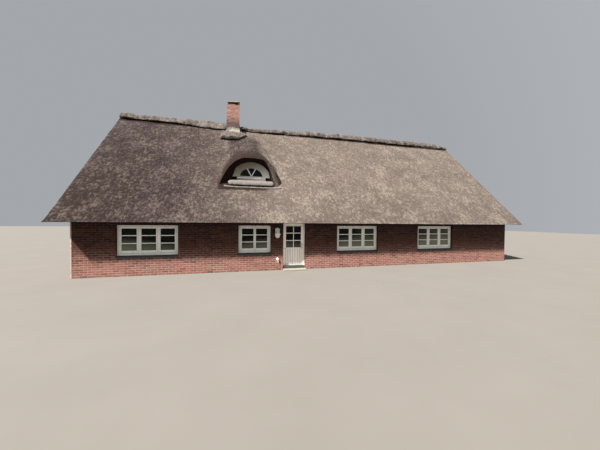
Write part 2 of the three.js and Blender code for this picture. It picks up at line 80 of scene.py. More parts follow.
# Directions along, up and out of the four sides
FRONT = ((1, 0, 0), (0, 0, 1), (0, -1, 0))
BACK = ((-1, 0, 0), (0, 0, 1), (0, 1, 0))
LEFT = ((0, -1, 0), (0, 0, 1), (-1, 0, 0))
RIGHT = ((0, 1, 0), (0, 0, 1), (1, 0, 0))

# Each window: name, centre x and y, foot z, turn, width, height, lights, mullion, rows
WINDOWS = (
    ("window_1", -7.595, -4.5, 0.75, 0, 2.09, 1.14, 3, 0.15, 3),
    ("window_2", -3.63, -4.5, 0.75, 0, 1.33, 1.14, 2, 0.1, 3),
    ("window_3", 1.072, -4.5, 0.75, 0, 2.08, 1.14, 3, 0.15, 3),
    ("window_4", 5.39, -4.5, 0.75, 0, 2.12, 1.14, 3, 0.15, 3),
    ("back_window_1", -6.4, 4.5, 0.75, 180, 2.09, 1.14, 3, 0.15, 3),
    ("back_window_2", 0, 4.5, 0.75, 180, 2.09, 1.14, 3, 0.15, 3),
    ("back_window_3", 6.4, 4.5, 0.75, 180, 2.09, 1.14, 3, 0.15, 3),
    ("left_window_low", -10, 0, 0.75, -90, 1.33, 1.14, 2, 0.1, 3),
    ("left_window_loft", -10, 0, 3.5, -90, 1.1, 1.0, 2, 0.1, 2),
    ("right_window_low", 10, 0, 0.75, 90, 1.33, 1.14, 2, 0.1, 3),
    ("right_window_loft", 10, 0, 3.5, 90, 1.1, 1.0, 2, 0.1, 2),
)


def linear(code):
    """The linear colour of an sRGB hex code, channel by channel: c/12.92 up to 0.04045, and
    ((c + 0.055)/1.055)^2.4 above it."""
    channels = np.array([int(code[i:i + 2], 16) for i in (1, 3, 5)]) / 255
    low, high = channels / 12.92, ((channels + 0.055) / 1.055) ** 2.4
    return (*np.where(channels <= 0.04045, low, high).tolist(), 1.0)


# Sizes and colours that a user would change


class CottageSizes(bpy.types.PropertyGroup):
    """Sizes of the cottage's dressing."""

    brick_length: FloatProperty(
        name="Brick and joint", description="Length of a brick and one joint along a course",
        default=0.25, min=0.15, max=0.4, unit="LENGTH")
    courses: IntProperty(
        name="Courses to a metre", description="Brick courses in one metre of wall",
        default=12, min=8, max=16)
    joint: FloatProperty(
        name="Joint", description="Width of the mortar joints",
        default=0.015, min=0.005, max=0.02, unit="LENGTH")
    proud: FloatProperty(
        name="Brick relief", description="How far the bricks stand out of their joints",
        default=0.004, min=0.002, max=0.012, unit="LENGTH")
    swell: FloatProperty(
        name="Thatch swell", description="Height of the broad waves in the thatch",
        default=0.022, min=0.0, max=0.04, unit="LENGTH")
    ridge_lumps: FloatProperty(
        name="Ridge lumps", description="Height of the lumps on the ridge and the apron",
        default=0.036, min=0.0, max=0.05, unit="LENGTH")
    bar: FloatProperty(
        name="Glazing bar", description="Width of the windows' glazing bars",
        default=0.034, min=0.02, max=0.05, unit="LENGTH")


class CottageColours(bpy.types.PropertyGroup):
    """Colours of the cottage's main finishes."""

    reed_pale: FloatVectorProperty(
        name="Pale reed", description="Sunlit stalks of the thatch", subtype="COLOR",
        size=4, default=linear("#625a52"), min=0, max=1)
    reed_dark: FloatVectorProperty(
        name="Weathered reed", description="Grey-brown hollows of the thatch", subtype="COLOR",
        size=4, default=linear("#362c28"), min=0, max=1)
    brick: FloatVectorProperty(
        name="Brick", description="Common colour of the bricks", subtype="COLOR",
        size=4, default=linear("#522c22"), min=0, max=1)
    mortar: FloatVectorProperty(
        name="Mortar", description="Colour of the lime mortar", subtype="COLOR",
        size=4, default=linear("#8f8278"), min=0, max=1)
    paint: FloatVectorProperty(
        name="Paint", description="Off-white paint of the joinery", subtype="COLOR",
        size=4, default=linear("#e4e3da"), min=0, max=1)


# Surfaces


def smooth(t):
    """The smooth step 3 t^2 - 2 t^3, held between 0 and 1."""
    t = np.clip(t, 0, 1)
    return t * t * (3 - 2 * t)


def ripple(x, y, size, seed):
    """Noise from -1 to 1: random heights on a square net, joined by smooth steps s and t, as
    (1 - s)(1 - t) a + s (1 - t) b + (1 - s) t c + s t d."""
    net = np.random.default_rng(seed).uniform(-1, 1, (512, 512))
    u, v = x / size + 200, y / size + 200
    i, j = np.floor(u).astype(int), np.floor(v).astype(int)
    s, t = smooth(u - i), smooth(v - j)
    low = net[i % 512, j % 512] * (1 - s) + net[(i + 1) % 512, j % 512] * s
    high = net[i % 512, (j + 1) % 512] * (1 - s) + net[(i + 1) % 512, (j + 1) % 512] * s
    return low * (1 - t) + high * t


def spaced(stops, step):
    """Values through all the stops, with equal steps between each two that are no longer than
    step."""
    stops = np.array(stops, float)
    parts = [
        np.linspace(a, b, max(1, math.ceil((b - a) / step)), endpoint=False)
        for a, b in zip(stops[:-1], stops[1:])
    ]
    return np.concatenate([*parts, stops[-1:]])


def volume(points, quads):
    """Signed volume: a sixth of the sum of a . (b x c) over the triangles of the quads."""
    a, b, c, d = (points[quads[:, n]] for n in range(4))
    first = np.einsum("ij,ij->i", a, np.cross(b, c)).sum()
    return (first + np.einsum("ij,ij->i", a, np.cross(c, d)).sum()) / 6


def lattice_skin(points, filled=None):
    """The closed skin of a block of cells. points[i, j, k] places the corners, and may hold a
    fourth number, the corner's tone; every side of a filled cell that meets an empty one becomes
    a quad that faces outwards."""
    cells = np.array(points.shape[:3]) - 1
    filled = np.ones(cells, bool) if filled is None else filled
    padded = np.pad(filled, 1)
    number = np.arange(points[..., 0].size).reshape(points.shape[:3])
    quads = []
    for axis, side in product(range(3), (0, 1)):
        beside = np.roll(padded, 1 - 2 * side, axis)[1:-1, 1:-1, 1:-1]
        cell = np.argwhere(filled & ~beside)
        step = np.eye(3, dtype=int)
        b, c = step[(axis + 1) % 3], step[(axis + 2) % 3]
        corners = [cell + side * step[axis] + p * b + q * c for p, q in
                   ((0, 0), (1, 0), (1, 1), (0, 1))]
        quad = np.stack([number[tuple(corner.T)] for corner in corners], 1)
        quads.append(quad if side else quad[:, ::-1])
    used, quads = np.unique(np.concatenate(quads), return_inverse=True)
    quads = quads.reshape(-1, 4)
    points = points.reshape(-1, points.shape[-1])[used]
    return points, quads if volume(points[:, :3], quads) > 0 else quads[:, ::-1]


def tube(rings):
    """A closed form through a row of rings, rings[i, j]: quads between each two rings, and one
    flat face on the first and on the last."""
    count, around = rings.shape[:2]
    number = np.arange(count * around).reshape(count, around)
    after = np.roll(number, -1, 1)
    quads = np.stack([number[:-1], after[:-1], after[1:], number[1:]], -1).reshape(-1, 4)
    points = rings.reshape(-1, 3)
    caps = [number[0][::-1], number[-1]]
    centre = points.mean(0)
    if volume(points - centre, quads) < 0:
        quads, caps = quads[:, ::-1], [cap[::-1] for cap in caps]
    return points, quads.tolist() + [cap.tolist() for cap in caps]


def turned(profile, centre, sides=24):
    """A lathe form: each (radius, height) of the profile becomes a ring
    (r cos a, r sin a, h) about the upright axis through centre."""
    profile = np.array(profile, float)
    angle = np.arange(sides) * 2 * math.pi / sides + math.pi / sides
    ring = np.stack(np.broadcast_arrays(
        profile[:, :1] * np.cos(angle), profile[:, :1] * np.sin(angle), profile[:, 1:]), -1)
    return tube(ring + np.array(centre))


def bevelled_boxes(low, high, bevel):
    """Boxes with every edge cut off at 45 degrees. Each corner becomes three points, one on each
    face of the box, moved in by the bevel along the other two axes."""
    low, high = np.atleast_2d(np.array(low, float)), np.atleast_2d(np.array(high, float))
    bevel = np.minimum(np.asarray(bevel), (high - low).min(1) * 0.3)[:, None, None, None]
    sign = np.array(list(product((0, 1), repeat=3)))
    side = sign[:, None, :]
    inward = (1 - 2 * side) * (1 - np.eye(3))
    size = (high - low)[:, None, None]
    points = low[:, None, None] + side * size + inward * bevel
    corner = {tuple(s): 3 * n for n, s in enumerate(sign.tolist())}
    shape = (side + inward * 0.2).reshape(-1, 3) - 0.5
    faces = []
    for m in range(3):
        a, b = (m + 1) % 3, (m + 2) % 3

        def at(s, p, q):
            spot = [0, 0, 0]
            spot[m], spot[a], spot[b] = s, p, q
            return corner[tuple(spot)]

        for s in (0, 1):
            faces.append([at(s, *pq) + m for pq in ((0, 0), (1, 0), (1, 1), (0, 1))])
        for p, q in product((0, 1), repeat=2):
            faces.append([at(0, p, q) + a, at(1, p, q) + a, at(1, p, q) + b, at(0, p, q) + b])
    faces += [[n, n + 1, n + 2] for n in range(0, 24, 3)]
    normal = [np.cross(shape[f[1]] - shape[f[0]], shape[f[2]] - shape[f[0]]) for f in faces]
    faces = [f if n @ shape[f].mean(0) > 0 else f[::-1] for f, n in zip(faces, normal)]
    start = 24 * np.arange(len(low))
    whole = [(np.array(f) + start[:, None]).tolist() for f in faces]
    return points.reshape(-1, 3), [face for group in whole for face in group]


def tiles(spans, rises, basis, origin, proud, chamfer=0.004):
    """Bricks on a wall: each is a rectangle spans x rises in the wall's plane, raised to its
    proud height on sloping shoulders. A point is origin + a A + u U + o O, and A, U and O are
    the rows of basis: along, up and out of the wall."""
    a0, a1 = (spans[:, n, None] for n in (0, 1))
    u0, u1 = (rises[:, n, None] for n in (0, 1))
    low = np.full_like(a0, -0.004)
    top = proud[:, None]
    inset = np.array([0, 0, chamfer])
    out = np.concatenate([low, top - chamfer, top], 1)
    left, right, foot, head = a0 + inset, a1 - inset, u0 + inset, u1 - inset
    rings = np.stack([
        np.stack([left, foot, out], -1), np.stack([right, foot, out], -1),
        np.stack([right, head, out], -1), np.stack([left, head, out], -1)], 2)
    points = rings.reshape(-1, 3) @ np.array(basis, float) + np.array(origin, float)
    ring = np.arange(4)
    after = np.roll(ring, -1)
    faces = [ring[::-1], ring + 8]
    for level in (0, 4):
        faces += list(np.stack([ring, after, after + 4, ring + 4], 1) + level)
    start = 12 * np.arange(len(spans))
    return points, (np.stack(faces)[None] + start[:, None, None]).reshape(-1, 4)


def gather(*shapes):
    """Several (points, faces) as one."""
    points, faces, count = [], [], 0
    for some, their in shapes:
        points.append(some)
        their = their.tolist() if isinstance(their, np.ndarray) else their
        faces += [[n + count for n in face] for face in their]
        count += len(some)
    return np.concatenate(points), faces


def add_piece(name, shape, finish, body="house", stands_for=(), rounded=None, tone=None):
    """Makes a mesh object of (points, faces) at the origin and hands it to the frame. Edges
    flatter than the angle rounded, in degrees, are shaded smooth. The tone is one number a
    point, and a fourth column of the points is one too."""
    points, faces = shape
    if points.shape[1] == 4:
        points, tone = points[:, :3], points[:, 3]
    faces = faces.tolist() if isinstance(faces, np.ndarray) else faces
    mesh = bpy.data.meshes.new(name)
    mesh.from_pydata(points.tolist(), [], faces)
    if mesh.validate():
        raise RuntimeError(f"{name} has faces that aren't sound")
    if rounded:
        mesh.shade_smooth()
        mesh.set_sharp_from_angle(angle=math.radians(rounded))
    if tone is not None:
        layer = mesh.attributes.new("tone", "FLOAT", "POINT")
        layer.data.foreach_set("value", np.asarray(tone, np.float32))
    mesh.materials.append(finish)
    piece = bpy.data.objects.new(name, mesh)
    bpy.context.scene.collection.objects.link(piece)
    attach(piece, body)
    if stands_for:
        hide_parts(*stands_for)
    return piece


def finish_nodes(finish, *names):
    """Gives CAD nodes a finish."""
    for name in names:
        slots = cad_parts[name].material_slots
        for slot in slots:
            slot.material = finish
        if not slots:
            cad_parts[name].data.materials.append(finish)


# Materials

# Mineral and painted finishes: the dark and the pale colour, the grain in metres and the
# roughness, then the bump's depth, the specular level, the stretch of the grain and the share of
# the tone attribute, as far as they differ from what speckled starts with
FINISHES = {
    # A matt sweep of all but one tone, which takes soft shadows
    "pale studio floor": ("#5e5a55", "#615d58", 1.5, 0.9, 0.0),
    # Dry reed tied in a roll: dull, paler than the roof, with streaks along it
    "bleached reed bundle": ("#433d38", "#746e6a", 0.05, 0.95, 0.02, 0.1, (1, 2.5, 2.5)),
    # Mortar that rain has washed: pale, sandy and without a shine
    "washed lime mortar": ("#5d4f48", "#8d7d73", 0.06, 0.95, 0.003, 0.1),
    # The same mortar under years of smoke: a shade darker
    "smoked lime mortar": ("#4d413c", "#786962", 0.06, 0.95, 0.003, 0.1),
    # Concrete cast in a form and left outside: blotched grey, its fines worn off
    "weathered cast concrete": ("#5c564d", "#9d9588", 0.09, 0.85, 0.004),
    # Cement put on by trowel: lumpy, dark where moss holds and pale where it is bare
    "mossy cement": ("#38332e", "#8d8981", 0.07, 0.9, 0.006, 0.3, (1, 1, 1), 0.3),
    # Slate split by hand: near black, shallow ridges, a faint sheen
    "riven slate": ("#181a1b", "#2a2c2e", 0.05, 0.6, 0.0015, 0.4, (1, 4, 1)),
    # New brushed paint: the whitest thing on the house, with a soft sheen
    "fresh oil paint": ("#ebe2d7", "#fcf4eb", 0.16, 0.42, 0.0006, 0.4, (1, 1, 0.35)),
    # Paint for the door leaf, seen only in its grooves and beside the bars: dark brown and dull, a
    # painted shade
    "dark oil paint with painted shade": ("#3a352e", "#5f584c", 0.05, 0.7),
    # Enamel fired on sheet metal: smooth, a clear shine, a little yellowed
    "off-white stove enamel": ("#bdb8ac", "#e2ded4", 0.05, 0.35, 0.0005, 0.5),
    # Old brushed paint with the wood's grey showing: flat and uneven
    "greyed oil paint": ("#8c7c72", "#b09e93", 0.08, 0.7, 0.001),
    # Sawn sandstone, damp: dark green-grey and gritty
    "grey-green sandstone": ("#2b2f2c", "#484d48", 0.03, 0.8, 0.002),
    # Stone cast from chippings: pale grey-brown, evenly rough
    "pale cast stone": ("#6b655c", "#8a8378", 0.04, 0.85, 0.002),
    # Floated screed: broad soft clouds, almost level
    "smooth floor screed": ("#8f8677", "#a89e8e", 0.2, 0.6, 0.001),
    # Pine from the saw, unplaned: honey brown, with its grain drawn out along the house
    "sawn pine": ("#7a5c3c", "#a98a63", 0.02, 0.75, 0.001, 0.3, (0.06, 1, 1)),
}


def add_node(tree, kind, values=None, links=None, stops=None, **settings):
    """Adds a node: values sets its sockets, links joins a socket or the first output of a node
    to each of them, stops are a ramp's colours, and settings are its own properties."""
    node = tree.nodes.new("ShaderNode" + kind)
    for key, value in settings.items():
        setattr(node, key, value)
    for key, value in (values or {}).items():
        node.inputs[key].default_value = value
    for key, source in (links or {}).items():
        source = source if isinstance(source, bpy.types.NodeSocket) else source.outputs[0]
        tree.links.new(source, node.inputs[key])
    if stops:
        ramp = node.color_ramp.elements
        while len(ramp) < len(stops):
            ramp.new(0.5)
        for element, (position, colour) in zip(ramp, stops):
            element.position, element.color = position, colour
    return node


def new_finish(name, **values):
    """A material with one Principled shader, the constants set on its sockets, and the object's
    own coordinates as spot. One that is there already comes back with no tree."""
    finish = bpy.data.materials.get(name)
    if finish:
        return finish, None, None, None
    finish = bpy.data.materials.new(name)
    finish.use_nodes = True
    tree = finish.node_tree
    shader = tree.nodes["Principled BSDF"]
    for key, value in values.items():
        shader.inputs[key.replace("_", " ")].default_value = value
    return finish, tree, shader, add_node(tree, "TexCoord").outputs["Object"]


def weathered_reed():
    """Water reed, combed down the slope and weathered for years: matt grey-brown, streaked by
    the stalks and stippled by their ends. Its tone attribute goes to 1 where it is damp and
    weathered, and where shade is painted under the lips and in the dormer's soffit, and there it is
    dark brown."""
    colours = bpy.context.scene.cottage_colours
    finish, tree, shader, spot = new_finish("weathered water reed", Roughness=0.95, IOR=1.45,
                                            Specular_IOR_Level=0.15)
    if not tree:
        return finish
    # Stalks lie down the slope: 7 mm across, drawn four times as wide to show, and long
    along = add_node(tree, "Mapping", {"Scale": (36, 3, 3)}, {"Vector": spot})
    stalks = add_node(tree, "TexNoise", {"Scale": 1.0, "Detail": 3.0}, {"Vector": along})
    # Combed tufts, 180 mm wide and 200 mm long
    comb = add_node(tree, "Mapping", {"Scale": (5.5, 5, 5)}, {"Vector": spot})
    tufts = add_node(tree, "TexNoise", {"Scale": 1.0, "Detail": 3.0, "Roughness": 0.55},
                     {"Vector": comb})
    # Stipple of butt ends and shadow, 90 mm apart
    stipple = add_node(tree, "TexNoise", {"Scale": 11.0, "Detail": 3.0, "Roughness": 0.55},
                       {"Vector": spot})
    # Damp in blotches of half a metre and more
    blotch = add_node(tree, "TexNoise", {"Scale": 1.1, "Detail": 3.0, "Roughness": 0.5},
                      {"Vector": spot})
    grain = add_node(tree, "Math", {1: 0.4}, {0: stalks}, operation="MULTIPLY")
    for weight, noise in ((0.65, stipple), (0.4, tufts)):
        grain = add_node(tree, "Math", {1: weight}, {0: noise, 2: grain}, operation="MULTIPLY_ADD")
    mixed = add_node(tree, "Math", {1: 0.35}, {0: blotch, 2: grain}, operation="MULTIPLY_ADD")
    middle = [(a + b) / 2 for a, b in zip(colours.reed_pale, colours.reed_dark)]
    ramp = add_node(tree, "ValToRGB", None, {"Fac": mixed}, stops=(
        (0.58, colours.reed_dark), (0.93, middle), (1.0, colours.reed_pale)))
    tone = add_node(tree, "Attribute", attribute_name="tone").outputs["Fac"]
    # The dark of the tone, damp and painted shade alike, lies deepest between the tufts
    hollow = add_node(tree, "MapRange", {"From Min": 0.65, "From Max": 1.15, "To Min": 1.35,
                      "To Max": 0.6}, {"Value": mixed})
    damp_and_shade = add_node(tree, "Math", None, {0: tone, 1: hollow}, operation="MULTIPLY", use_clamp=True)
    # Near-black brown for the tone: painted shade under the lips and in the dormer's soffit, and damp
    shade = add_node(tree, "ValToRGB", None, {"Fac": tone}, stops=(
        (0.85, linear("#190f11")), (1.0, linear("#1b110c"))))
    damp_and_shade_colour = add_node(tree, "Mix", None, {"Factor": damp_and_shade, "A": ramp, "B": shade},
                         data_type="RGBA")
    tree.links.new(damp_and_shade_colour.outputs["Result"], shader.inputs["Base Color"])
    bump = add_node(tree, "Bump", {"Strength": 0.5, "Distance": 0.03}, {"Height": grain})
    tree.links.new(bump.outputs["Normal"], shader.inputs["Normal"])
    return finish


def packed_heather():
    """Heather packed over the ridge: twiggy, matt, in fist-sized lumps, and painted black as shade
    where its tone attribute goes to 1, under the lips."""
    finish, tree, shader, spot = new_finish("packed ridge heather", Roughness=0.97, IOR=1.45,
                                            Specular_IOR_Level=0.15)
    if not tree:
        return finish
    # Bundles of 250 mm that lie across the ridge, lumps of 110 mm over them, and twigs of 25 mm
    across = add_node(tree, "Mapping", {"Scale": (4.0, 1.2, 1.6)}, {"Vector": spot})
    bundles = add_node(tree, "TexNoise", {"Scale": 1.0, "Detail": 3.0}, {"Vector": across})
    lumps = add_node(tree, "TexNoise", {"Scale": 9.0, "Detail": 4.0, "Roughness": 0.7},
                     {"Vector": spot})
    twigs = add_node(tree, "TexNoise", {"Scale": 38.0, "Detail": 2.0}, {"Vector": spot})
    some = add_node(tree, "Math", {1: 0.9}, {0: bundles, 2: lumps}, operation="MULTIPLY_ADD")
    both = add_node(tree, "Math", {1: 0.5}, {0: twigs, 2: some}, operation="MULTIPLY_ADD")
    spread = add_node(tree, "MapRange", {"From Min": 0.8, "From Max": 1.6}, {"Value": both})
    ramp = add_node(tree, "ValToRGB", None, {"Fac": spread}, stops=(
        (0.15, linear("#29221f")), (0.5, linear("#4b443f")), (0.85, linear("#6a6460"))))
    tone = add_node(tree, "Attribute", attribute_name="tone").outputs["Fac"]
    # Painted shade: near black under the lips, where the tone goes to 1
    painted_lip_shade = add_node(tree, "Mix", {"B": linear("#100b08")}, {"Factor": tone, "A": ramp},
                       data_type="RGBA")
    tree.links.new(painted_lip_shade.outputs["Result"], shader.inputs["Base Color"])
    bump = add_node(tree, "Bump", {"Strength": 0.9, "Distance": 0.05}, {"Height": both})
    tree.links.new(bump.outputs["Normal"], shader.inputs["Normal"])
    return finish


def fired_brick(name, dark, middle, pale):
    """Rough fired clay: each brick has its own tone, and the face is sandy and pitted."""
    finish, tree, shader, spot = new_finish(name, Roughness=0.88, IOR=1.5, Specular_IOR_Level=0.25)
    if not tree:
        return finish
    tone = add_node(tree, "Attribute", attribute_name="tone").outputs["Fac"]
    # Sand and pits of 8 mm, and blooms of 150 mm that cross the joints
    sand = add_node(tree, "TexNoise", {"Scale": 120.0, "Detail": 3.0}, {"Vector": spot})
    bloom = add_node(tree, "TexNoise", {"Scale": 6.5, "Detail": 3.0}, {"Vector": spot})
    fine = add_node(tree, "Math", {1: 0.55}, {0: tone}, operation="MULTIPLY")
    for weight, noise in ((0.3, bloom), (0.15, sand)):
        fine = add_node(tree, "Math", {1: weight}, {0: noise, 2: fine}, operation="MULTIPLY_ADD")
    ramp = add_node(tree, "ValToRGB", None, {"Fac": fine}, stops=(
        (0.2, dark), (0.5, middle), (0.7, pale)))
    tree.links.new(ramp.outputs["Color"], shader.inputs["Base Color"])
    bump = add_node(tree, "Bump", {"Strength": 0.5, "Distance": 0.003}, {"Height": sand})
    tree.links.new(bump.outputs["Normal"], shader.inputs["Normal"])
    return finish


def speckled(name, dark, pale, size, roughness, depth=0.002, specular=0.3, stretch=(1, 1, 1),
             toned=0.0):
    """A mineral or painted finish: two tones in grains of the given size, in metres, with a
    bump of the given depth. Where toned isn't 0, the piece's tone attribute shifts it too."""
    finish, tree, shader, spot = new_finish(name, Roughness=roughness, IOR=1.5,
                                            Specular_IOR_Level=specular)
    if not tree:
        return finish
    place = add_node(tree, "Mapping", {"Scale": stretch}, {"Vector": spot})
    grain = add_node(tree, "TexNoise", {"Scale": 1 / size, "Detail": 5.0, "Roughness": 0.6},
                     {"Vector": place})
    shade = grain
    if toned:
        tone = add_node(tree, "Attribute", attribute_name="tone").outputs["Fac"]
        shade = add_node(tree, "Math", {1: toned}, {0: tone, 2: grain}, operation="MULTIPLY_ADD")
    ramp = add_node(tree, "ValToRGB", None, {"Fac": shade}, stops=((0.3, dark), (0.7, pale)))
    tree.links.new(ramp.outputs["Color"], shader.inputs["Base Color"])
    bump = add_node(tree, "Bump", {"Strength": 0.5, "Distance": depth}, {"Height": grain})
    tree.links.new(bump.outputs["Normal"], shader.inputs["Normal"])
    return finish


def plain_finish(name):
    """The finish of that name in FINISHES."""
    dark, pale, *rest = FINISHES[name]
    return speckled(name, linear(dark), linear(pale), *rest)


def lime_mortar():
    """Lime mortar struck back from the bricks: sandy, painted pale near the ground as sunlight, and
    painted dark as the eaves' shade from 0.45 m up to 1.1 m."""
    pale = bpy.context.scene.cottage_colours.mortar
    finish, tree, shader, spot = new_finish("lime mortar", Roughness=0.95, IOR=1.5,
                                            Specular_IOR_Level=0.1)
    if not tree:
        return finish
    sand = add_node(tree, "TexNoise", {"Scale": 16.0, "Detail": 5.0}, {"Vector": spot})
    parts = add_node(tree, "SeparateXYZ", None, {"Vector": spot})
    # Painted light and shade: pale up to 0.45 m, where the sun falls, and dark from 1.1 m up, in the
    # eaves' shadow
    painted_lightness = add_node(tree, "MapRange", {"From Min": 0.45, "From Max": 1.1, "To Min": 0.55,
                     "To Max": -0.1}, {"Value": parts.outputs["Z"]})
    shade = add_node(tree, "Math", {1: 0.6}, {0: sand, 2: painted_lightness}, operation="MULTIPLY_ADD")
    ramp = add_node(tree, "ValToRGB", None, {"Fac": shade}, stops=(
        (0.1, linear("#271f1b")), (0.8, pale)))
    tree.links.new(ramp.outputs["Color"], shader.inputs["Base Color"])
    bump = add_node(tree, "Bump", {"Strength": 0.5, "Distance": 0.003}, {"Height": sand})
    tree.links.new(bump.outputs["Normal"], shader.inputs["Normal"])
    return finish


def white_paint():
    """Oil paint on pine, off-white: a soft sheen with faint brush marks and grime."""
    pale = bpy.context.scene.cottage_colours.paint
    return speckled("off-white oil paint", [c * 0.8 for c in pale[:3]] + [1], pale, 0.16, 0.42,
                    0.0006, 0.4, (1, 1, 0.35))


def shaded_board_paint():
    """The same paint under the thatch, with painted shade: darkest at the left and the top, where the
    brow's shadow falls."""
    pale = bpy.context.scene.cottage_colours.paint
    finish, tree, shader, spot = new_finish("board paint with painted shade", Roughness=0.6, IOR=1.5)
    if not tree:
        return finish
    cloud = add_node(tree, "TexNoise", {"Scale": 2.2, "Detail": 5.0}, {"Vector": spot})
    parts = add_node(tree, "SeparateXYZ", None, {"Vector": spot})
    # Painted shade: darker towards the left and the top, where the brow shades the board
    painted_light_across = add_node(tree, "MapRange", {"From Min": BOARD_X - BOARD_HALF,
                    "From Max": BOARD_X + BOARD_HALF, "To Min": 0.05, "To Max": 0.75},
                    {"Value": parts.outputs["X"]})
    brow_band = add_node(tree, "MapRange", {"From Min": LIGHT_BASE - 0.05,
                    "From Max": LIGHT_BASE + 0.55, "To Min": 0.05, "To Max": -0.5},
                    {"Value": parts.outputs["Z"]})
    painted_lightness = add_node(tree, "Math", None, {0: painted_light_across, 1: brow_band}, operation="ADD")
    painted_lightness = add_node(tree, "Math", {1: 0.4}, {0: cloud, 2: painted_lightness}, operation="MULTIPLY_ADD")
    ramp = add_node(tree, "ValToRGB", None, {"Fac": painted_lightness}, stops=(
        (0.0, linear("#6a5a40")), (0.4, linear("#8d8a82")), (0.95, pale)))
    tree.links.new(ramp.outputs["Color"], shader.inputs["Base Color"])
    bump = add_node(tree, "Bump", {"Strength": 0.3, "Distance": 0.001}, {"Height": cloud})
    tree.links.new(bump.outputs["Normal"], shader.inputs["Normal"])
    return finish


def window_glass():
    """Float glass over a dark room: mirror-smooth, barely see-through, with a painted reflection of
    the ground, grey-olive, on the lowest panes."""
    finish, tree, shader, spot = new_finish("window glass", Roughness=0.04, IOR=1.5, Alpha=0.85,
                                            Specular_IOR_Level=0.1)
    if not tree:
        return finish
    # Painted reflection: the lowest panes turn grey-olive, the ground mirrored in them
    parts = add_node(tree, "SeparateXYZ", None, {"Vector": spot})
    reflection_by_height = add_node(tree, "MapRange", {"From Min": 1.5, "From Max": 1.0, "To Min": -1.43,
                      "To Max": -0.48}, {"Value": parts.outputs["Z"]})
    some = add_node(tree, "TexNoise", {"Scale": 0.23, "Detail": 1.0}, {"Vector": spot})
    painted_reflection = add_node(tree, "Math", {1: 2.4}, {0: some, 2: reflection_by_height}, operation="MULTIPLY_ADD",
                    use_clamp=True)
    reflection_colour = add_node(tree, "Mix", {"A": linear("#060605"), "B": linear("#797a69")},
                     {"Factor": painted_reflection}, data_type="RGBA")
    tree.links.new(reflection_colour.outputs["Result"], shader.inputs["Base Color"])
    # Rolled waves of 0.4 m, too shallow to see but for the way reflections bend
    wave = add_node(tree, "TexNoise", {"Scale": 2.5, "Detail": 1.0}, {"Vector": spot})
    bump = add_node(tree, "Bump", {"Strength": 0.15, "Distance": 0.01}, {"Height": wave})
    tree.links.new(bump.outputs["Normal"], shader.inputs["Normal"])
    finish.surface_render_method = "DITHERED"
    return finish


def frosted_glass():
    """The lantern's panes: frosted with a grain of 3 mm, and half see-through."""
    finish, tree, shader, spot = new_finish("frosted lantern glass", Roughness=0.3, IOR=1.5,
                                            Alpha=0.6, Base_Color=linear("#cfd0ca"))
    if not tree:
        return finish
    frost = add_node(tree, "TexNoise", {"Scale": 300.0}, {"Vector": spot})
    bump = add_node(tree, "Bump", {"Strength": 0.3, "Distance": 0.001}, {"Height": frost})
    tree.links.new(bump.outputs["Normal"], shader.inputs["Normal"])
    return finish


def dull_steel():
    """Satin stainless steel: metal with a fine brushed grain of 1 mm."""
    finish, tree, shader, spot = new_finish("satin stainless steel", Metallic=1.0, Roughness=0.32,
                                            Base_Color=linear("#a9a8a4"))
    if not tree:
        return finish
    place = add_node(tree, "Mapping", {"Scale": (1000, 1000, 60)}, {"Vector": spot})
    grain = add_node(tree, "TexNoise", {"Scale": 1.0}, {"Vector": place})
    rough = add_node(tree, "MapRange", {"To Min": 0.25, "To Max": 0.45}, {"Value": grain})
    tree.links.new(rough.outputs["Result"], shader.inputs["Roughness"])
    return finish


# The stage


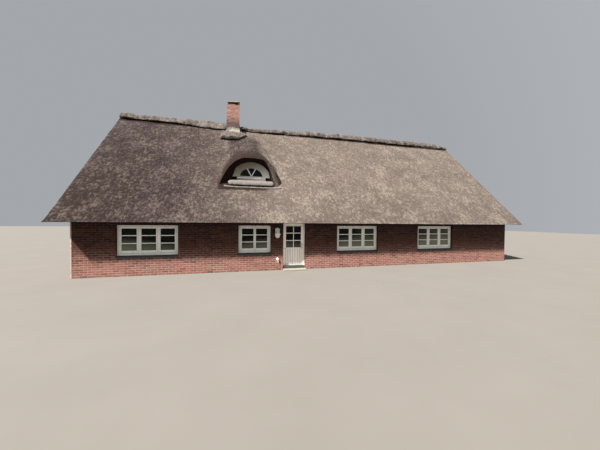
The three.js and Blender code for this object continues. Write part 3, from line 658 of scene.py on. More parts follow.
class CottageStage(bpy.types.Operator):
    """Lays the pale floor, hangs the lights and sets the camera at the photograph's angle."""

    bl_idname = "cottage.stage"
    bl_label = "Stage"

    def execute(self, context):
        scene = context.scene
        mesh = bpy.data.meshes.new("floor")
        half = 60
        mesh.from_pydata([(-half, -half, 0), (half, -half, 0), (half, half, 0), (-half, half, 0)],
                         [], [(0, 1, 2, 3)])
        mesh.materials.append(plain_finish("pale studio floor"))
        floor = bpy.data.objects.new("floor", mesh)
        floor.location.z = -0.002
        scene.collection.objects.link(floor)

        # A key from the upper left of the front, a faint fill from the front for what the eaves
        # shade, and a soft sky, paler towards the back
        for name, energy, spread, towards in (("key", 17.0, 3, (0.727, 0.405, -1)),
                                              ("fill", 0.2, 50, (0.25, 0.93, -0.25))):
            sun = bpy.data.lights.new(name, "SUN")
            sun.energy, sun.angle = energy, math.radians(spread)
            sun.color = (1.0, 0.965, 0.92)
            lamp = bpy.data.objects.new(name, sun)
            lamp.rotation_euler = Vector(towards).to_track_quat("-Z", "Y").to_euler()
            scene.collection.objects.link(lamp)
        world = bpy.data.worlds.new("studio")
        world.use_nodes = True
        tree = world.node_tree
        sky = tree.nodes["Background"]
        sky.inputs["Color"].default_value = linear("#dfe4ea")
        spot = add_node(tree, "TexCoord").outputs["Generated"]
        parts = add_node(tree, "SeparateXYZ", None, {"Vector": spot})
        pale = add_node(tree, "MapRange", {"From Min": -0.2, "From Max": 0.7, "To Min": 0.7,
                        "To Max": 0.5}, {"Value": parts.outputs["Y"]})
        tree.links.new(pale.outputs["Result"], sky.inputs["Strength"])
        scene.world = world
        scene.view_settings.view_transform = "Standard"

        # Solved from the photograph: 241.7 pixels of focal length on 600
        yaw, pitch, roll = -0.24833, -0.01995, 0.00941
        forward = Vector((-math.sin(yaw) * math.cos(pitch), math.cos(yaw) * math.cos(pitch),
                          math.sin(pitch)))
        right = Vector((math.cos(yaw), math.sin(yaw), 0))
        up = right.cross(forward)
        across = right * math.cos(roll) + up * math.sin(roll)
        upward = up * math.cos(roll) - right * math.sin(roll)
        eye = bpy.data.cameras.new("camera")
        eye.sensor_width = 36
        eye.lens = 36 * 241.7 / 600
        eye.clip_end = 300
        camera = bpy.data.objects.new("camera", eye)
        turn = Matrix((across, upward, -forward)).transposed().to_4x4()
        camera.matrix_world = Matrix.Translation((-4.284, -14.679, 2.134)) @ turn
        scene.collection.objects.link(camera)
        scene.camera = camera
        return {"FINISHED"}


# Thatch

# The apron's front edge |y| along X, and its right end x at a height of |y|
APRON_EDGE = ((-5.25, 0.97), (-5.21, 1.0), (-4.73, 1.0), (-4.3, 0.985), (-4.16, 0.95),
              (-4.02, 0.89), (-3.87, 0.82))
APRON_END = ((0.2, -4.17), (0.41, -4.07), (0.55, -3.98), (0.81, -3.87))
# The dormer's thatch reaches less far on the right
DORMER_RIGHT = 1.3


def thatch_lift(x, y):
    """How far the thatch stands off its plane: three ripples, 1.7 m, 0.4 m and 0.13 m long."""
    swell = bpy.context.scene.cottage_sizes.swell
    return swell * (ripple(x, y, 1.7, 1) + 0.42 * ripple(x, y, 0.4, 2)
                    + 0.22 * ripple(x, y, 0.13, 3))


def dormer_swell(x, back):
    """How far the dormer's thatch would stand off the main slope: rise (1 - |u|^n) less the
    difference of the slopes times the distance back. At the face n is 2.8 on the left and 4.2 on
    the squarer right, and it falls to 1.7 where the hood dies into the slope."""
    u = (x - DORMER_X) / np.where(x > DORMER_X, DORMER_RIGHT, DORMER_HALF)
    power = np.where(u > 0, 4.2, DORMER_ROUND)
    power = power + (1.7 - power) * smooth(back / 1.3)
    return DORMER_RISE * (1 - np.abs(u) ** power) - (SLOPE - DORMER_SLOPE) * back


def reed_tone(x, y):
    """How dark the thatch is: weathering and painted shade together. It goes by 0.76 smooth((-1.8 - x)
    / 5.2) and
    0.12 smooth((-7.4 - x) / 1.4) along the house, darker to the left, partly weathering and partly the
    painted shade of a tree;
    paler along the ridge, darker down to the eaves on the right, with blotches of 1.3 m. What drips
    off the chimney has stained a band from the apron to the dormer's brow, the dormer's left flank,
    which faces the key light, is painted darker as shade, and what the ridge and the apron cover is
    painted black as their shade."""
    back = y - DORMER_Y
    tone = (0.76 * smooth((-1.8 - x) / 5.2) + 0.12 * smooth((-7.4 - x) / 1.4)
            + 0.05 * ripple(x, y, 1.3, 4) - 0.14 * (1 - smooth(np.abs(y) / 1.2)) + 0.03
            + 0.14 * smooth((np.abs(y) - 3.3) / 1.6) * smooth((x + 3) / 4))
    front = (y < 0) * smooth((back + 0.3) / 0.1)
    half = 0.5 + 0.25 * (1 - smooth((back - 0.2) / 1.0))
    brow_band = (1 - smooth((np.abs(x + 4) - half) / 0.5)) * (1 - smooth((back - 2.5) / 0.3))
    shaded_flank = smooth((-0.35 - (x - DORMER_X) / DORMER_HALF) / 0.3) * smooth(
        (dormer_swell(x, back) + 0.3) / 0.5) * (1 - smooth((back - 0.5) / 0.9))
    # The flank term is painted shade: it darkens the dormer's left flank, which faces the key light
    tone = tone + front * (brow_band * (0.82 - 0.36 * smooth((back - 0.3) / 1.3)) + 0.32 * shaded_flank)
    edge = np.interp(x, *np.array(APRON_EDGE).T) * ((x > APRON_X[0]) & (x < APRON_X[1] - 0.05))
    # Painted shade: the reed under the ridge's and the apron's lips turns black
    painted_lip_shade = np.maximum(edge + 0.01, 0.26)
    return tone + 1.1 * (1 - smooth((np.abs(y) - painted_lip_shade + 0.04) / 0.04))


def thatch_slab(side):
    """One slope. Columns run along the house and rows down the slope; the top is
    z = apex - slope |y| + lift, and the bottom max(top - thickness, the eave's level cut). The
    verge and the eave bulge by a half sine across their thickness, and the verge splays by
    0.12 m from ridge to eave. Cells at the chimney and, in front, behind the dormer's board are
    left out."""
    holes = [(CHIMNEY_X - CHIMNEY_HALF, CHIMNEY_X + CHIMNEY_HALF, 0, CHIMNEY_DEEP)]
    if side < 0:
        holes.append((BOARD_X - 0.8, BOARD_X + 0.8, 2.5, 3.2))
    stops = sorted({n for hole in holes for n in hole[:2]})
    x = spaced([-VERGE_X, *stops, VERGE_X], 0.075)
    ridge_gap = 0.0003
    y = spaced([ridge_gap, *sorted({n for hole in holes for n in hole[2:]} - {0}), EAVE_Y], 0.05)
    across, down, deep = np.meshgrid(x, y, np.linspace(0, 1, 7), indexing="ij")
    top = APEX - SLOPE * down
    lift = thatch_lift(across, side * down)
    from_verge = VERGE_X - np.abs(across)
    rounding = 0.035 * (1 - smooth(from_verge / 0.12)) + 0.02 * smooth((down - 4.94) / 0.12)
    bottom = np.maximum(top - THATCH, EAVE_CUT - 0.002)
    z = top * (1 - deep) + bottom * deep + (lift * 0.9 - rounding) * (1 - deep) ** 2
    bulge = np.sin(math.pi * deep)
    rough = ripple(down, deep * 0.5, 0.09, 5)
    splay = smooth(1 - from_verge / 2.4) * (0.12 * down / EAVE_Y - 0.1)
    across = across + np.sign(across) * (splay - (1 - smooth(from_verge / 0.1)) * (
        0.02 * (1 - bulge) + 0.012 * np.abs(rough)))
    down = down + smooth((down - 4.9) / 0.15) * (
        0.034 * bulge + 0.006 * ripple(across, deep, 0.08, 6) * bulge)
    z -= SLOPE * 0.5 * smooth((down - 4.99) / 0.1) * 0.034 * bulge * (1 - deep)
    # The underside and the deeper cut faces are painted darker, as shade
    tone = reed_tone(across, side * down) + 0.25 * smooth(deep * 3 - 1)
    points = np.stack([across, side * down, z, tone], -1)
    mid_x, mid_y = (x[1:] + x[:-1]) / 2, (y[1:] + y[:-1]) / 2
    filled = np.ones((len(x) - 1, len(y) - 1, 6), bool)
    for x0, x1, y0, y1 in holes:
        filled[np.ix_((mid_x > x0) & (mid_x < x1), (mid_y > y0) & (mid_y < y1))] = False
    return lattice_skin(points, filled)


def dormer_hood():
    """The swept arch over the dormer. Its top is plane + (D + sqrt(D^2 + k^2)) / 2, where D is
    the dormer's swell and k rounds the valley. Its soffit runs from the lip at the face, 1 - |u|^3
    on the left and (1 - u^3)^0.45 on the right, to the board's half ellipse, and on under the
    top."""
    half_turns = np.concatenate([
        -1 - 0.35 * (1 - np.linspace(0, 1, 10, endpoint=False)), np.linspace(-1, 1, 97),
        1 + 0.35 * np.linspace(0, 1, 11)[1:]])
    a = half_turns[:, None]
    inside = np.clip(a, -1, 1)
    u = np.sin(inside * math.pi / 2) + (a - inside)
    depth, lip_deep = 3.05, 0.26
    back = spaced([0, 0.12, 0.6, depth], 0.035)
    back = np.concatenate([back[back <= 0.6], spaced([0.6, depth], 0.06)[1:]])[None]
    # The brow leans out over the window by 0.16 (1 - u^2)
    lean = 0.16 * np.clip(1 - u ** 2, 0, 1) * (1 - smooth(back / 0.9))
    top_y = DORMER_Y + back - lean
    top_x = DORMER_X + np.where(u > 0, DORMER_RIGHT, DORMER_HALF) * u + 0 * back
    rise = dormer_swell(top_x, back)
    round_off = 0.05 + 0.08 * (u > 0) * smooth((u - 0.5) / 0.3) + 0.3 * smooth(back / 1.3)
    plane = APEX - SLOPE * np.abs(top_y + lean)
    keep = smooth((rise + 0.55) / 0.4)
    lift = thatch_lift(top_x, top_y) * 0.9
    top_z = plane + lift + keep * (rise + np.sqrt(rise ** 2 + round_off ** 2)) / 2
    top_z = top_z - 0.03 * (1 - smooth((rise + 0.5) / 0.35)) - 0.03 * (1 - smooth(back / 0.07))
    top_z = top_z + 0.06 * smooth(rise / 0.5) * (1 - np.exp(-back / 0.25)) + 0.02 * (1 - u ** 2)

    # Under the top: the soffit, from a lip that ends in a thick leg on the right, then the vault
    # behind the board, then just below the plane
    lip_u = np.clip(u, -1, 1)
    lip_x = DORMER_X + np.where(u > 0, 1.04, DORMER_HALF) * lip_u + 0.4 * (a - inside)
    lip_z = DORMER_BASE + (DORMER_RISE - 0.01) * np.where(
        u > 0, (1 - np.abs(lip_u) ** 3) ** 0.45, 1 - np.abs(lip_u) ** 3) - 0.05 * (
            np.abs(a) > 0.999)
    arc = np.clip(inside / 0.94, -1, 1) * math.pi / 2
    board_x = BOARD_X + BOARD_HALF * np.sin(arc) + 0.4 * (a - inside)
    board_z = BOARD_SPRING + BOARD_RISE * np.cos(arc) - 0.16 * smooth((np.abs(a) - 0.94) / 0.06)
    soffit = np.clip(back / lip_deep, 0, 1)
    beyond = np.clip((back - lip_deep) / (depth - lip_deep), 0, 1)
    under_x = lip_x * (1 - soffit) + board_x * soffit
    under_x = under_x * (1 - smooth(beyond)) + top_x * smooth(beyond)
    under_plane = APEX - SLOPE * np.abs(top_y) - 0.07
    under_z = np.maximum(lip_z * (1 - soffit) + board_z * soffit, under_plane)
    under_z = np.minimum(under_z, top_z - 0.02)
    deep = np.linspace(0, 1, 7)
    top = np.stack([top_x, top_y, top_z], -1)[:, :, None]
    under = np.stack([under_x, top_y, under_z], -1)[:, :, None]
    points = top * (1 - deep[:, None]) + under * deep[:, None]
    face = (1 - smooth(back / 0.1))[:, :, None] * np.sin(math.pi * deep)
    points[..., 1] -= 0.03 * face
    # Painted shade: black under the lip, and on the face over it too but on the right, where the face
    # shows
    under = smooth(deep * 9 - 0.2)
    under = under + (smooth((deep - 0.8) / 0.2) - under) * smooth((u + 0.1) / 0.3)[:, :, None]
    tone = reed_tone(top_x, top_y)[:, :, None] * (1 - under) + 2.2 * under
    return lattice_skin(np.concatenate([points, tone[..., None]], -1))


class CottageThatch(bpy.types.Operator):
    """Lays the thatch on both slopes and sweeps it up over the dormer."""

    bl_idname = "cottage.thatch"
    bl_label = "Thatch"

    def execute(self, context):
        reed = weathered_reed()
        for side, end in ((-1, "front"), (1, "back")):
            add_piece(f"reed_{end}", thatch_slab(side), reed, stands_for=[f"thatch_{end}"],
                      rounded=50)
        add_piece("reed_dormer_hood", dormer_hood(), reed, stands_for=["thatch_front"],
                  rounded=50)
        return {"FINISHED"}


# Half sections of the ridge's cover, from its foot on the thatch over the lip to the top
RIDGE_BROAD = ((0.22, 7.215), (0.325, 7.19), (0.345, 7.24), (0.305, 7.37), (0.215, 7.52),
               (0.11, 7.64), (0, 7.69))
RIDGE_START = ((0.15, 7.34), (0.245, 7.315), (0.265, 7.36), (0.24, 7.42), (0.17, 7.48),
               (0.09, 7.515), (0, 7.53))
RIDGE_DIPPED = ((0.15, 7.29), (0.255, 7.25), (0.275, 7.29), (0.25, 7.36), (0.18, 7.44),
                (0.09, 7.5), (0, 7.525))
RIDGE_SLIM = ((0.08, 7.365), (0.175, 7.365), (0.195, 7.405), (0.175, 7.48), (0.125, 7.585),
              (0.065, 7.66), (0, 7.69))


def ridge_roll(x0, x1, stops, seed):
    """The ridge's cover. Its section at x mixes the sections of the stops, (x, section, drop of
    the top), each spread over 49 points, one side and then the other; ripples give it lumps and
    let its lip wander, and a point under the ridge closes it."""
    x = spaced([x0, x1], 0.06)
    turn = np.linspace(0, 12, 49)
    whole = []
    for _, half, drop in stops:
        y, z = np.array(half).T
        z = z - drop * (z - z[0]) / (z[-1] - z[0])
        y, z = np.concatenate([y, -y[-2::-1]]), np.concatenate([z, z[-2::-1]])
        y, z = np.interp(turn, np.arange(13), y), np.interp(turn, np.arange(13), z)
        # Round it off, but for the lips
        for _ in range(3):
            y[7:-7], z[7:-7] = ((v[6:-8] + 2 * v[7:-7] + v[8:-6]) / 4 for v in (y, z))
        whole.append(np.stack([y, z], -1))
    at = np.interp(x, [stop[0] for stop in stops], np.arange(len(stops)))
    first = np.minimum(at.astype(int), len(stops) - 2)
    mix = smooth(at - first)[:, None, None]
    y, z = np.moveaxis(np.array(whole)[first] * (1 - mix) + np.array(whole)[first + 1] * mix, -1, 0)
    x = x[:, None]
    from_foot = np.minimum(turn, 12 - turn)
    lip = np.exp(-((from_foot - 1.7) / 0.9) ** 2)
    lumps = bpy.context.scene.cottage_sizes.ridge_lumps * (
        ripple(x, turn * 0.12, 0.5, seed) + 0.6 * ripple(x, turn * 0.12, 0.17, seed + 1)) * (
        smooth((from_foot - 1.0) / 1.5))
    centre = APEX - 0.05
    radius = np.hypot(y, z - centre)
    wander = lip * (0.03 * ripple(x, np.sign(y) * 3 + 0 * x, 1.3, seed + 2)
                    + 0.03 * ripple(x, np.sign(y) * 3 + 0 * x, 0.3, seed + 3))
    end = 1 - 0.16 * (1 - smooth((x - x0) / 0.12)) - 0.16 * (1 - smooth((x1 - x) / 0.12))
    grow = end * (1 + (lumps + wander) / radius)
    y, z = y * grow, centre + (z - centre) * grow + 0.012 * ripple(x, 0 * x, 1.1, seed + 4)
    y, z = np.concatenate([y, 0 * x], 1), np.concatenate([z, 0 * x + APEX - 0.04], 1)
    # The fourth number is 1 on the underside and the lips' foot, which paints them black as shade
    under = np.append(1 - smooth(from_foot - 0.5), 1) + 0 * x
    points, faces = tube(np.stack([np.broadcast_to(x, y.shape), y, z], -1))
    return np.column_stack([points, under.ravel()]), faces


def apron_skirt():
    """The skirt at the chimney's foot, over both slopes. Across it v runs from -1 to 1 with
    y = v edge(x), and past the chimney x is drawn in to the right end's slant. Its top lies near
    the roof at the chimney and stands 0.27 m off at its blunt edge, plus lumps; its bottom leaves
    the roof by 0.1 m there. The fourth number of a point is 1 on its bottom, which paints it black as
    shade."""
    low, high = CHIMNEY_X - CHIMNEY_HALF, CHIMNEY_X + CHIMNEY_HALF
    x = spaced([APRON_X[0], low, high, APRON_X[1]], 0.04)
    v = np.sin(np.linspace(-1, 1, 81) * 1.25) / math.sin(1.25)
    across, around, deep = np.meshgrid(x, v, np.linspace(0, 1, 6), indexing="ij")
    y = around * np.interp(across, *np.array(APRON_EDGE).T)
    y = y + 0.02 * ripple(across, 0 * y, 0.3, 33) * around ** 8
    slant = (np.interp(np.abs(y), *np.array(APRON_END).T) - high) / (APRON_X[1] - high)
    across = np.where(across > high, high + (across - high) * slant, across)
    plane = APEX - SLOPE * np.abs(y)
    roof = APEX - SLOPE * np.sqrt(y ** 2 + 0.06 ** 2) + 0.05
    ends = np.abs(2 * (x - APRON_X[0]) / (APRON_X[1] - APRON_X[0]) - 1)[:, None, None]
    off = 0.03 + 0.19 * smooth((np.abs(y) - 0.35) / 0.35)
    lumps = bpy.context.scene.cottage_sizes.ridge_lumps * (
        ripple(across, y, 0.42, 31) + 0.6 * ripple(across, y, 0.15, 32))
    top = roof + off - 0.05 * ends ** 12 + lumps * (0.4 + 0.6 * smooth((np.abs(y) - 0.3) / 0.3))
    lift = 0.15 * smooth((np.abs(around) - 0.8) / 0.12) - 0.05
    z = top * (1 - deep) + np.minimum(plane + lift, top - 0.03) * deep
    edge_in = 0.03 * deep * np.sign(around) * np.abs(around) ** 12
    points = np.stack([across, y - edge_in, z, smooth(deep * 5 - 2.9)], -1)
    filled = np.ones((len(x) - 1, len(v) - 1, 5), bool)
    mid_x = (x[1:] + x[:-1]) / 2
    inside = np.abs(mid_x - CHIMNEY_X) < CHIMNEY_HALF
    width = np.interp(mid_x, *np.array(APRON_EDGE).T)
    hole = inside[:, None] & (np.abs((v[1:] + v[:-1]) / 2) * width[:, None] < CHIMNEY_DEEP - 0.02)
    filled[hole] = False
    return lattice_skin(points, filled)


def sill_roll():
    """The roll of thatch under the dormer's board: a closed section of points, eased but for its
    lip and carried along X. Its ends narrow by the square root of their distance to the end."""

    def plane(y):
        return APEX + SLOPE * y

    section = np.array([
        (BOARD_Y, plane(BOARD_Y) - 0.04), (BOARD_Y, 3.93), (-3.33, 3.935), (-3.4, 3.92),
        (-3.47, 3.89), (-3.53, 3.85), (-3.58, 3.79), (-3.603, 3.72), (-3.595, 3.665),
        (-3.54, plane(-3.54) + 0.015), (-3.46, plane(-3.46) - 0.03),
        (-3.36, plane(-3.36) - 0.05)])
    closed = np.vstack([section, section[:1]])
    length = np.concatenate([[0], np.cumsum(np.hypot(*np.diff(closed, axis=0).T))])
    at = np.linspace(0, length[-1], 41)[:-1]
    y, z = (np.interp(at, length, closed[:, n]) for n in (0, 1))
    y, z = ((np.roll(v, 1) + 4 * v + np.roll(v, -1)) / 6 for v in (y, z))
    x = spaced([BOARD_X - 1.03, BOARD_X + 1.04], 0.035)[:, None]
    from_end = np.minimum(x - x[0], x[-1] - x)
    shrink = np.sqrt(np.clip(from_end / 0.09, 0.05, 1))
    centre_y, centre_z = y.mean(), z.mean()
    lumps = 0.008 * ripple(x, at, 0.2, 41) + 0.005 * ripple(x, at, 0.08, 42)
    grow = shrink * (1 + lumps / 0.15)
    rings = np.stack(np.broadcast_arrays(
        x, centre_y + (y - centre_y) * grow, centre_z + (z - centre_z) * grow), -1)
    return tube(rings)


def roll_lip():
    """The edge of the thatch just under the roll: an ellipse carried along X on the slope, which
    turns up and swells at both ends."""
    middle, half = -3.655, 1.275
    x = spaced([-4.93, -2.38], 0.03)[:, None]
    off = np.abs(x - middle) / half
    turn = np.arange(14) * math.pi / 7
    y = -3.635 + 0.035 * off ** 8
    size = (0.75 + 0.6 * off ** 10) * np.sqrt(np.clip((1 - off) / 0.04, 0.05, 1)) * (
        1 + 0.25 * ripple(x, turn, 0.11, 43))
    along, off_slope = 0.045 * size * np.cos(turn), 0.028 * size * np.sin(turn)
    slant = math.hypot(1, SLOPE)
    return tube(np.stack(np.broadcast_arrays(
        x, y + (along - off_slope * SLOPE) / slant,
        APEX + SLOPE * y + 0.004 + (along * SLOPE + off_slope) / slant), -1))


class CottageRidge(bpy.types.Operator):
    """Covers the ridge, skirts the chimney and lays the roll under the dormer."""

    bl_idname = "cottage.ridge"
    bl_label = "Ridge, apron and roll"

    def execute(self, context):
        heather = packed_heather()
        add_piece("heather_ridge_left", ridge_roll(
            -10.29, CHIMNEY_X - CHIMNEY_HALF - 0.004,
            ((-10.29, RIDGE_SLIM, 0), (-8, RIDGE_SLIM, 0), (-5.7, RIDGE_BROAD, 0)), 11), heather,
                  stands_for=["ridge_cap_left"], rounded=60)
        add_piece("heather_ridge_right", ridge_roll(CHIMNEY_X + CHIMNEY_HALF + 0.004, 10.34, (
            (-4.27, RIDGE_START, 0), (-3.5, RIDGE_DIPPED, 0), (1, RIDGE_SLIM, 0),
            (2.8, RIDGE_SLIM, -0.03), (9, RIDGE_SLIM, -0.01), (10.34, RIDGE_SLIM, 0.15)), 21), heather,
                  stands_for=["ridge_cap_right"], rounded=60)
        add_piece("heather_apron", apron_skirt(), heather, stands_for=["chimney_apron"],
                  rounded=60)
        add_piece("reed_dormer_roll", gather(sill_roll(), roll_lip()),
                  plain_finish("bleached reed bundle"), stands_for=["dormer_sill"],
                  rounded=60)
        return {"FINISHED"}


# Brickwork


def course_rows(limits, foot, head, openings, odd, half=None):
    """Bricks in stretcher bond: course n has its bricks at start + m L, or half a brick on in
    every other course, cut to the wall's limits and around each opening that it meets. On a
    gable half(z) is how far a course reaches from the middle at that height. Returns their spans
    along and their rises."""
    sizes = bpy.context.scene.cottage_sizes
    length, joint, pitch = sizes.brick_length, sizes.joint, 1 / sizes.courses
    spans, rises = [], []
    for course in range(round((head - foot) / pitch)):
        low = foot + course * pitch + joint / 2
        high = min(low + pitch - joint, head)
        left, right = limits
        if half is not None:
            reach = min(half(high), -left)
            left, right = -reach, reach
        if right - left < 0.08:
            continue
        begin = limits[0] - length * (0.5 if (course + odd) % 2 else 0)
        start = begin + length * np.arange(math.ceil((limits[1] - begin) / length) + 1)
        a0, a1 = start + joint / 2, start + length - joint / 2
        a0, a1 = np.clip(a0, left, right), np.clip(a1, left, right)
        for h0, h1, z0, z1 in openings:
            if low < z1 - 0.012 and high > z0 + 0.012:
                keep_left, keep_right = a0 < h0, a1 > h1
                a0, a1 = (
                    np.concatenate([a0[keep_left], np.maximum(a0, h1)[keep_right]]),
                    np.concatenate([np.minimum(a1, h0)[keep_left], a1[keep_right]]))
        sound = a1 - a0 > 0.03
        spans.append(np.stack([a0[sound], a1[sound]], 1))
        rises.append(np.broadcast_to([low, high], (sound.sum(), 2)))
    return np.concatenate(spans), np.concatenate(rises)


def brick_face(spans, rises, basis, origin, rng):
    """Lays the bricks of one face, each a little off in size, and gives each its own tone."""
    proud = bpy.context.scene.cottage_sizes.proud + rng.uniform(-0.0015, 0.0015, len(spans))
    spans = spans + rng.uniform(-0.0012, 0.0012, spans.shape)
    rises = rises + rng.uniform(-0.001, 0.001, rises.shape)
    tone = rng.normal(0.5, 0.09, len(spans)).clip(0, 1)
    return tiles(spans, rises, basis, origin, proud), np.repeat(tone, 12)


def wall_bricks(basis, origin, limits, head, openings, soldiers, odd, rng, half=None):
    """One wall's bricks: its courses, an upright course over each of the soldiers' openings, and
    the returns into every opening, as deep as its recess."""
    shut = list(openings) + [(h0, h1, z1, z1 + 0.25) for h0, h1, _, z1 in soldiers]
    notches = [(h0, h1, z0 - SILL_DROP, z0) for h0, h1, z0, _ in soldiers]
    parts = [brick_face(*course_rows(limits, 0, head, shut + notches, odd, half),
                        basis, origin, rng)]
    along, up, out = (np.array(v, float) for v in basis)
    spot, courses = np.array(origin, float), bpy.context.scene.cottage_sizes.courses
    for h0, h1, z0, z1 in soldiers:
        count = round((h1 - h0) * courses)
        edge = np.linspace(h0, h1, count + 1)
        spans = np.stack([edge[:-1] + 0.006, edge[1:] - 0.006], 1)
        rises = np.broadcast_to([z1 + 0.004, z1 + 0.244], spans.shape)
        parts.append(brick_face(spans, rises, basis, origin, rng))
    for h0, h1, z0, z1 in openings:
        pitch = 1 / courses
        low = np.arange(math.floor(z0 / pitch) * pitch, z1, pitch)
        rises = np.clip(np.stack([low + 0.006, low + pitch - 0.006], 1), z0 + 0.002, z1 - 0.002)
        rises = rises[rises[:, 1] - rises[:, 0] > 0.02]
        inward = np.broadcast_to([-0.006, RECESS - 0.003], rises.shape)
        parts.append(brick_face(inward, rises, [-out, up, along], spot + h0 * along, rng))
        parts.append(brick_face(-inward[:, ::-1], rises, [out, up, -along], spot + h1 * along, rng))
    # Painted light and shade by height: the lowest courses, where the sun reaches below the eaves'
    # shadow, are painted paler, and on the long walls the courses above are painted darker as the
    # eaves' shade
    points, faces = gather(*[shape for shape, _ in parts])
    height = points[:, 2]
    painted_light_foot = 0.3 if half is None else 0.12
    tone = np.concatenate([t for _, t in parts]) + painted_light_foot * (1 - smooth((height - 0.35) / 0.5))
    if half is None:
        # Painted shade: darker from 0.6 m up, and darkest in a band under the eave
        tone -= 0.42 * smooth((height - 0.6) / 1) + 0.35 * smooth((height - 1.82) / 0.15)
    return (points, faces), tone


def gable_reach(z):
    """Half the width of a gable's brickwork at the height z, where it meets the thatch."""
    return (APEX - THATCH - 0.03 - z) / SLOPE


class CottageBricks(bpy.types.Operator):
    """Lays the bricks of the four walls over their mortar."""

    bl_idname = "cottage.bricks"
    bl_label = "Brickwork"

    def execute(self, context):
        colour = np.array(context.scene.cottage_colours.brick[:3])
        brick = fired_brick(
            "red fired brick", (*(colour * (0.22, 0.14, 0.1)).tolist(), 1), (*colour.tolist(), 1),
            (*np.minimum(colour * 1.9 + 0.03, 1).tolist(), 1))
        rng = np.random.default_rng(7)
        # Openings, as left and right along the wall, foot and head
        low, high = 0.75, 1.89
        front = [(x - w / 2, x + w / 2, low, high) for _, x, _, _, _, w, *_ in WINDOWS[:4]]
        back = [(-x - w / 2, -x + w / 2, low, high) for _, x, _, _, _, w, *_ in WINDOWS[4:7]]
        gable = [(-0.665, 0.665, low, high), (-0.55, 0.55, 3.5, 4.5)]
        door = (DOORWAY[0], DOORWAY[1], 0, DOORWAY[2])
        end, side = HALF_LENGTH + 0.006, HALF_DEPTH + 0.006
        walls = (
            ("bricks_front", FRONT, (0, -HALF_DEPTH, 0), (-end, end), 2.14, front + [door], front,
             0, None),
            ("bricks_back", BACK, (0, HALF_DEPTH, 0), (-end, end), 2.14, back, back, 0, None),
            ("bricks_left_gable", LEFT, (-HALF_LENGTH, 0, 0), (-side, side), 6.9, gable, gable,
             1, gable_reach),
            ("bricks_right_gable", RIGHT, (HALF_LENGTH, 0, 0), (-side, side), 6.9, gable, gable,
             1, gable_reach))
        for name, basis, origin, limits, head, openings, soldiers, odd, half in walls:
            shape, tone = wall_bricks(basis, origin, limits, head, openings, soldiers, odd, rng, half)
            add_piece(name, shape, brick, tone=tone)
        finish_nodes(lime_mortar(), "front_wall_left", "front_wall_right", "front_wall_over_door",
                     "back_wall")
        finish_nodes(plain_finish("washed lime mortar"), "left_gable_wall", "right_gable_wall")
        finish_nodes(plain_finish("smoked lime mortar"), "chimney_stack")
        return {"FINISHED"}


def haunch_ring():
    """The cement haunch, a ring round the stack, with its tone: mossy at its top and washed pale
    at its foot. Its section is carried round the square x = X + cos a (half + out) / m and
    y = sin a (half + out) / m, where m is the larger of |cos a| and |sin a|. It lies on the apron
    and has crept up the bricks by up to 0.1 m, least on the left."""
    turn = np.arange(64) * 2 * math.pi / 64
    square = 1 / np.maximum(np.abs(np.cos(turn)), np.abs(np.sin(turn)))
    out = np.array([0, 0.01, 0.02, 0.035, 0.045, 0.02, 0])[:, None]
    rise = np.array([0.22, 0.21, 0.14, 0.07, 0.0, -0.1, -0.1])[:, None]
    x = CHIMNEY_X + np.cos(turn) * square * (CHIMNEY_HALF + 0.002 + out)
    y = np.sin(turn) * square * (CHIMNEY_DEEP + 0.002 + out)
    roof = APEX - SLOPE * np.sqrt(y ** 2 + 0.06 ** 2) + 0.03
    creep = 0.09 * ripple(x, y, 0.2, 52) - 0.1 * smooth((CHIMNEY_X - 0.2 - x) / 0.15)
    z = roof + rise + creep * (rise > 0.03) + 0.02 * ripple(x, y, 0.12, 51)
    points = np.stack([x, y, z], -1).reshape(-1, 3)
    pale = (1 - smooth((rise - 0.1) / 0.06)) * smooth((x - CHIMNEY_X + 0.27) / 0.1)
    number = np.arange(x.size).reshape(x.shape)
    after, below = np.roll(number, -1, 1), np.roll(number, -1, 0)
    quads = np.stack([number, below, np.roll(below, -1, 1), after], -1)[:-1].reshape(-1, 4)
    inner = np.stack([number[0], after[0], after[-1], number[-1]], 1)
    quads = np.concatenate([quads, inner])
    if volume(points - points.mean(0), quads) < 0:
        quads = quads[:, ::-1]
    return (points, quads), (1.3 * pale - 0.4).ravel()


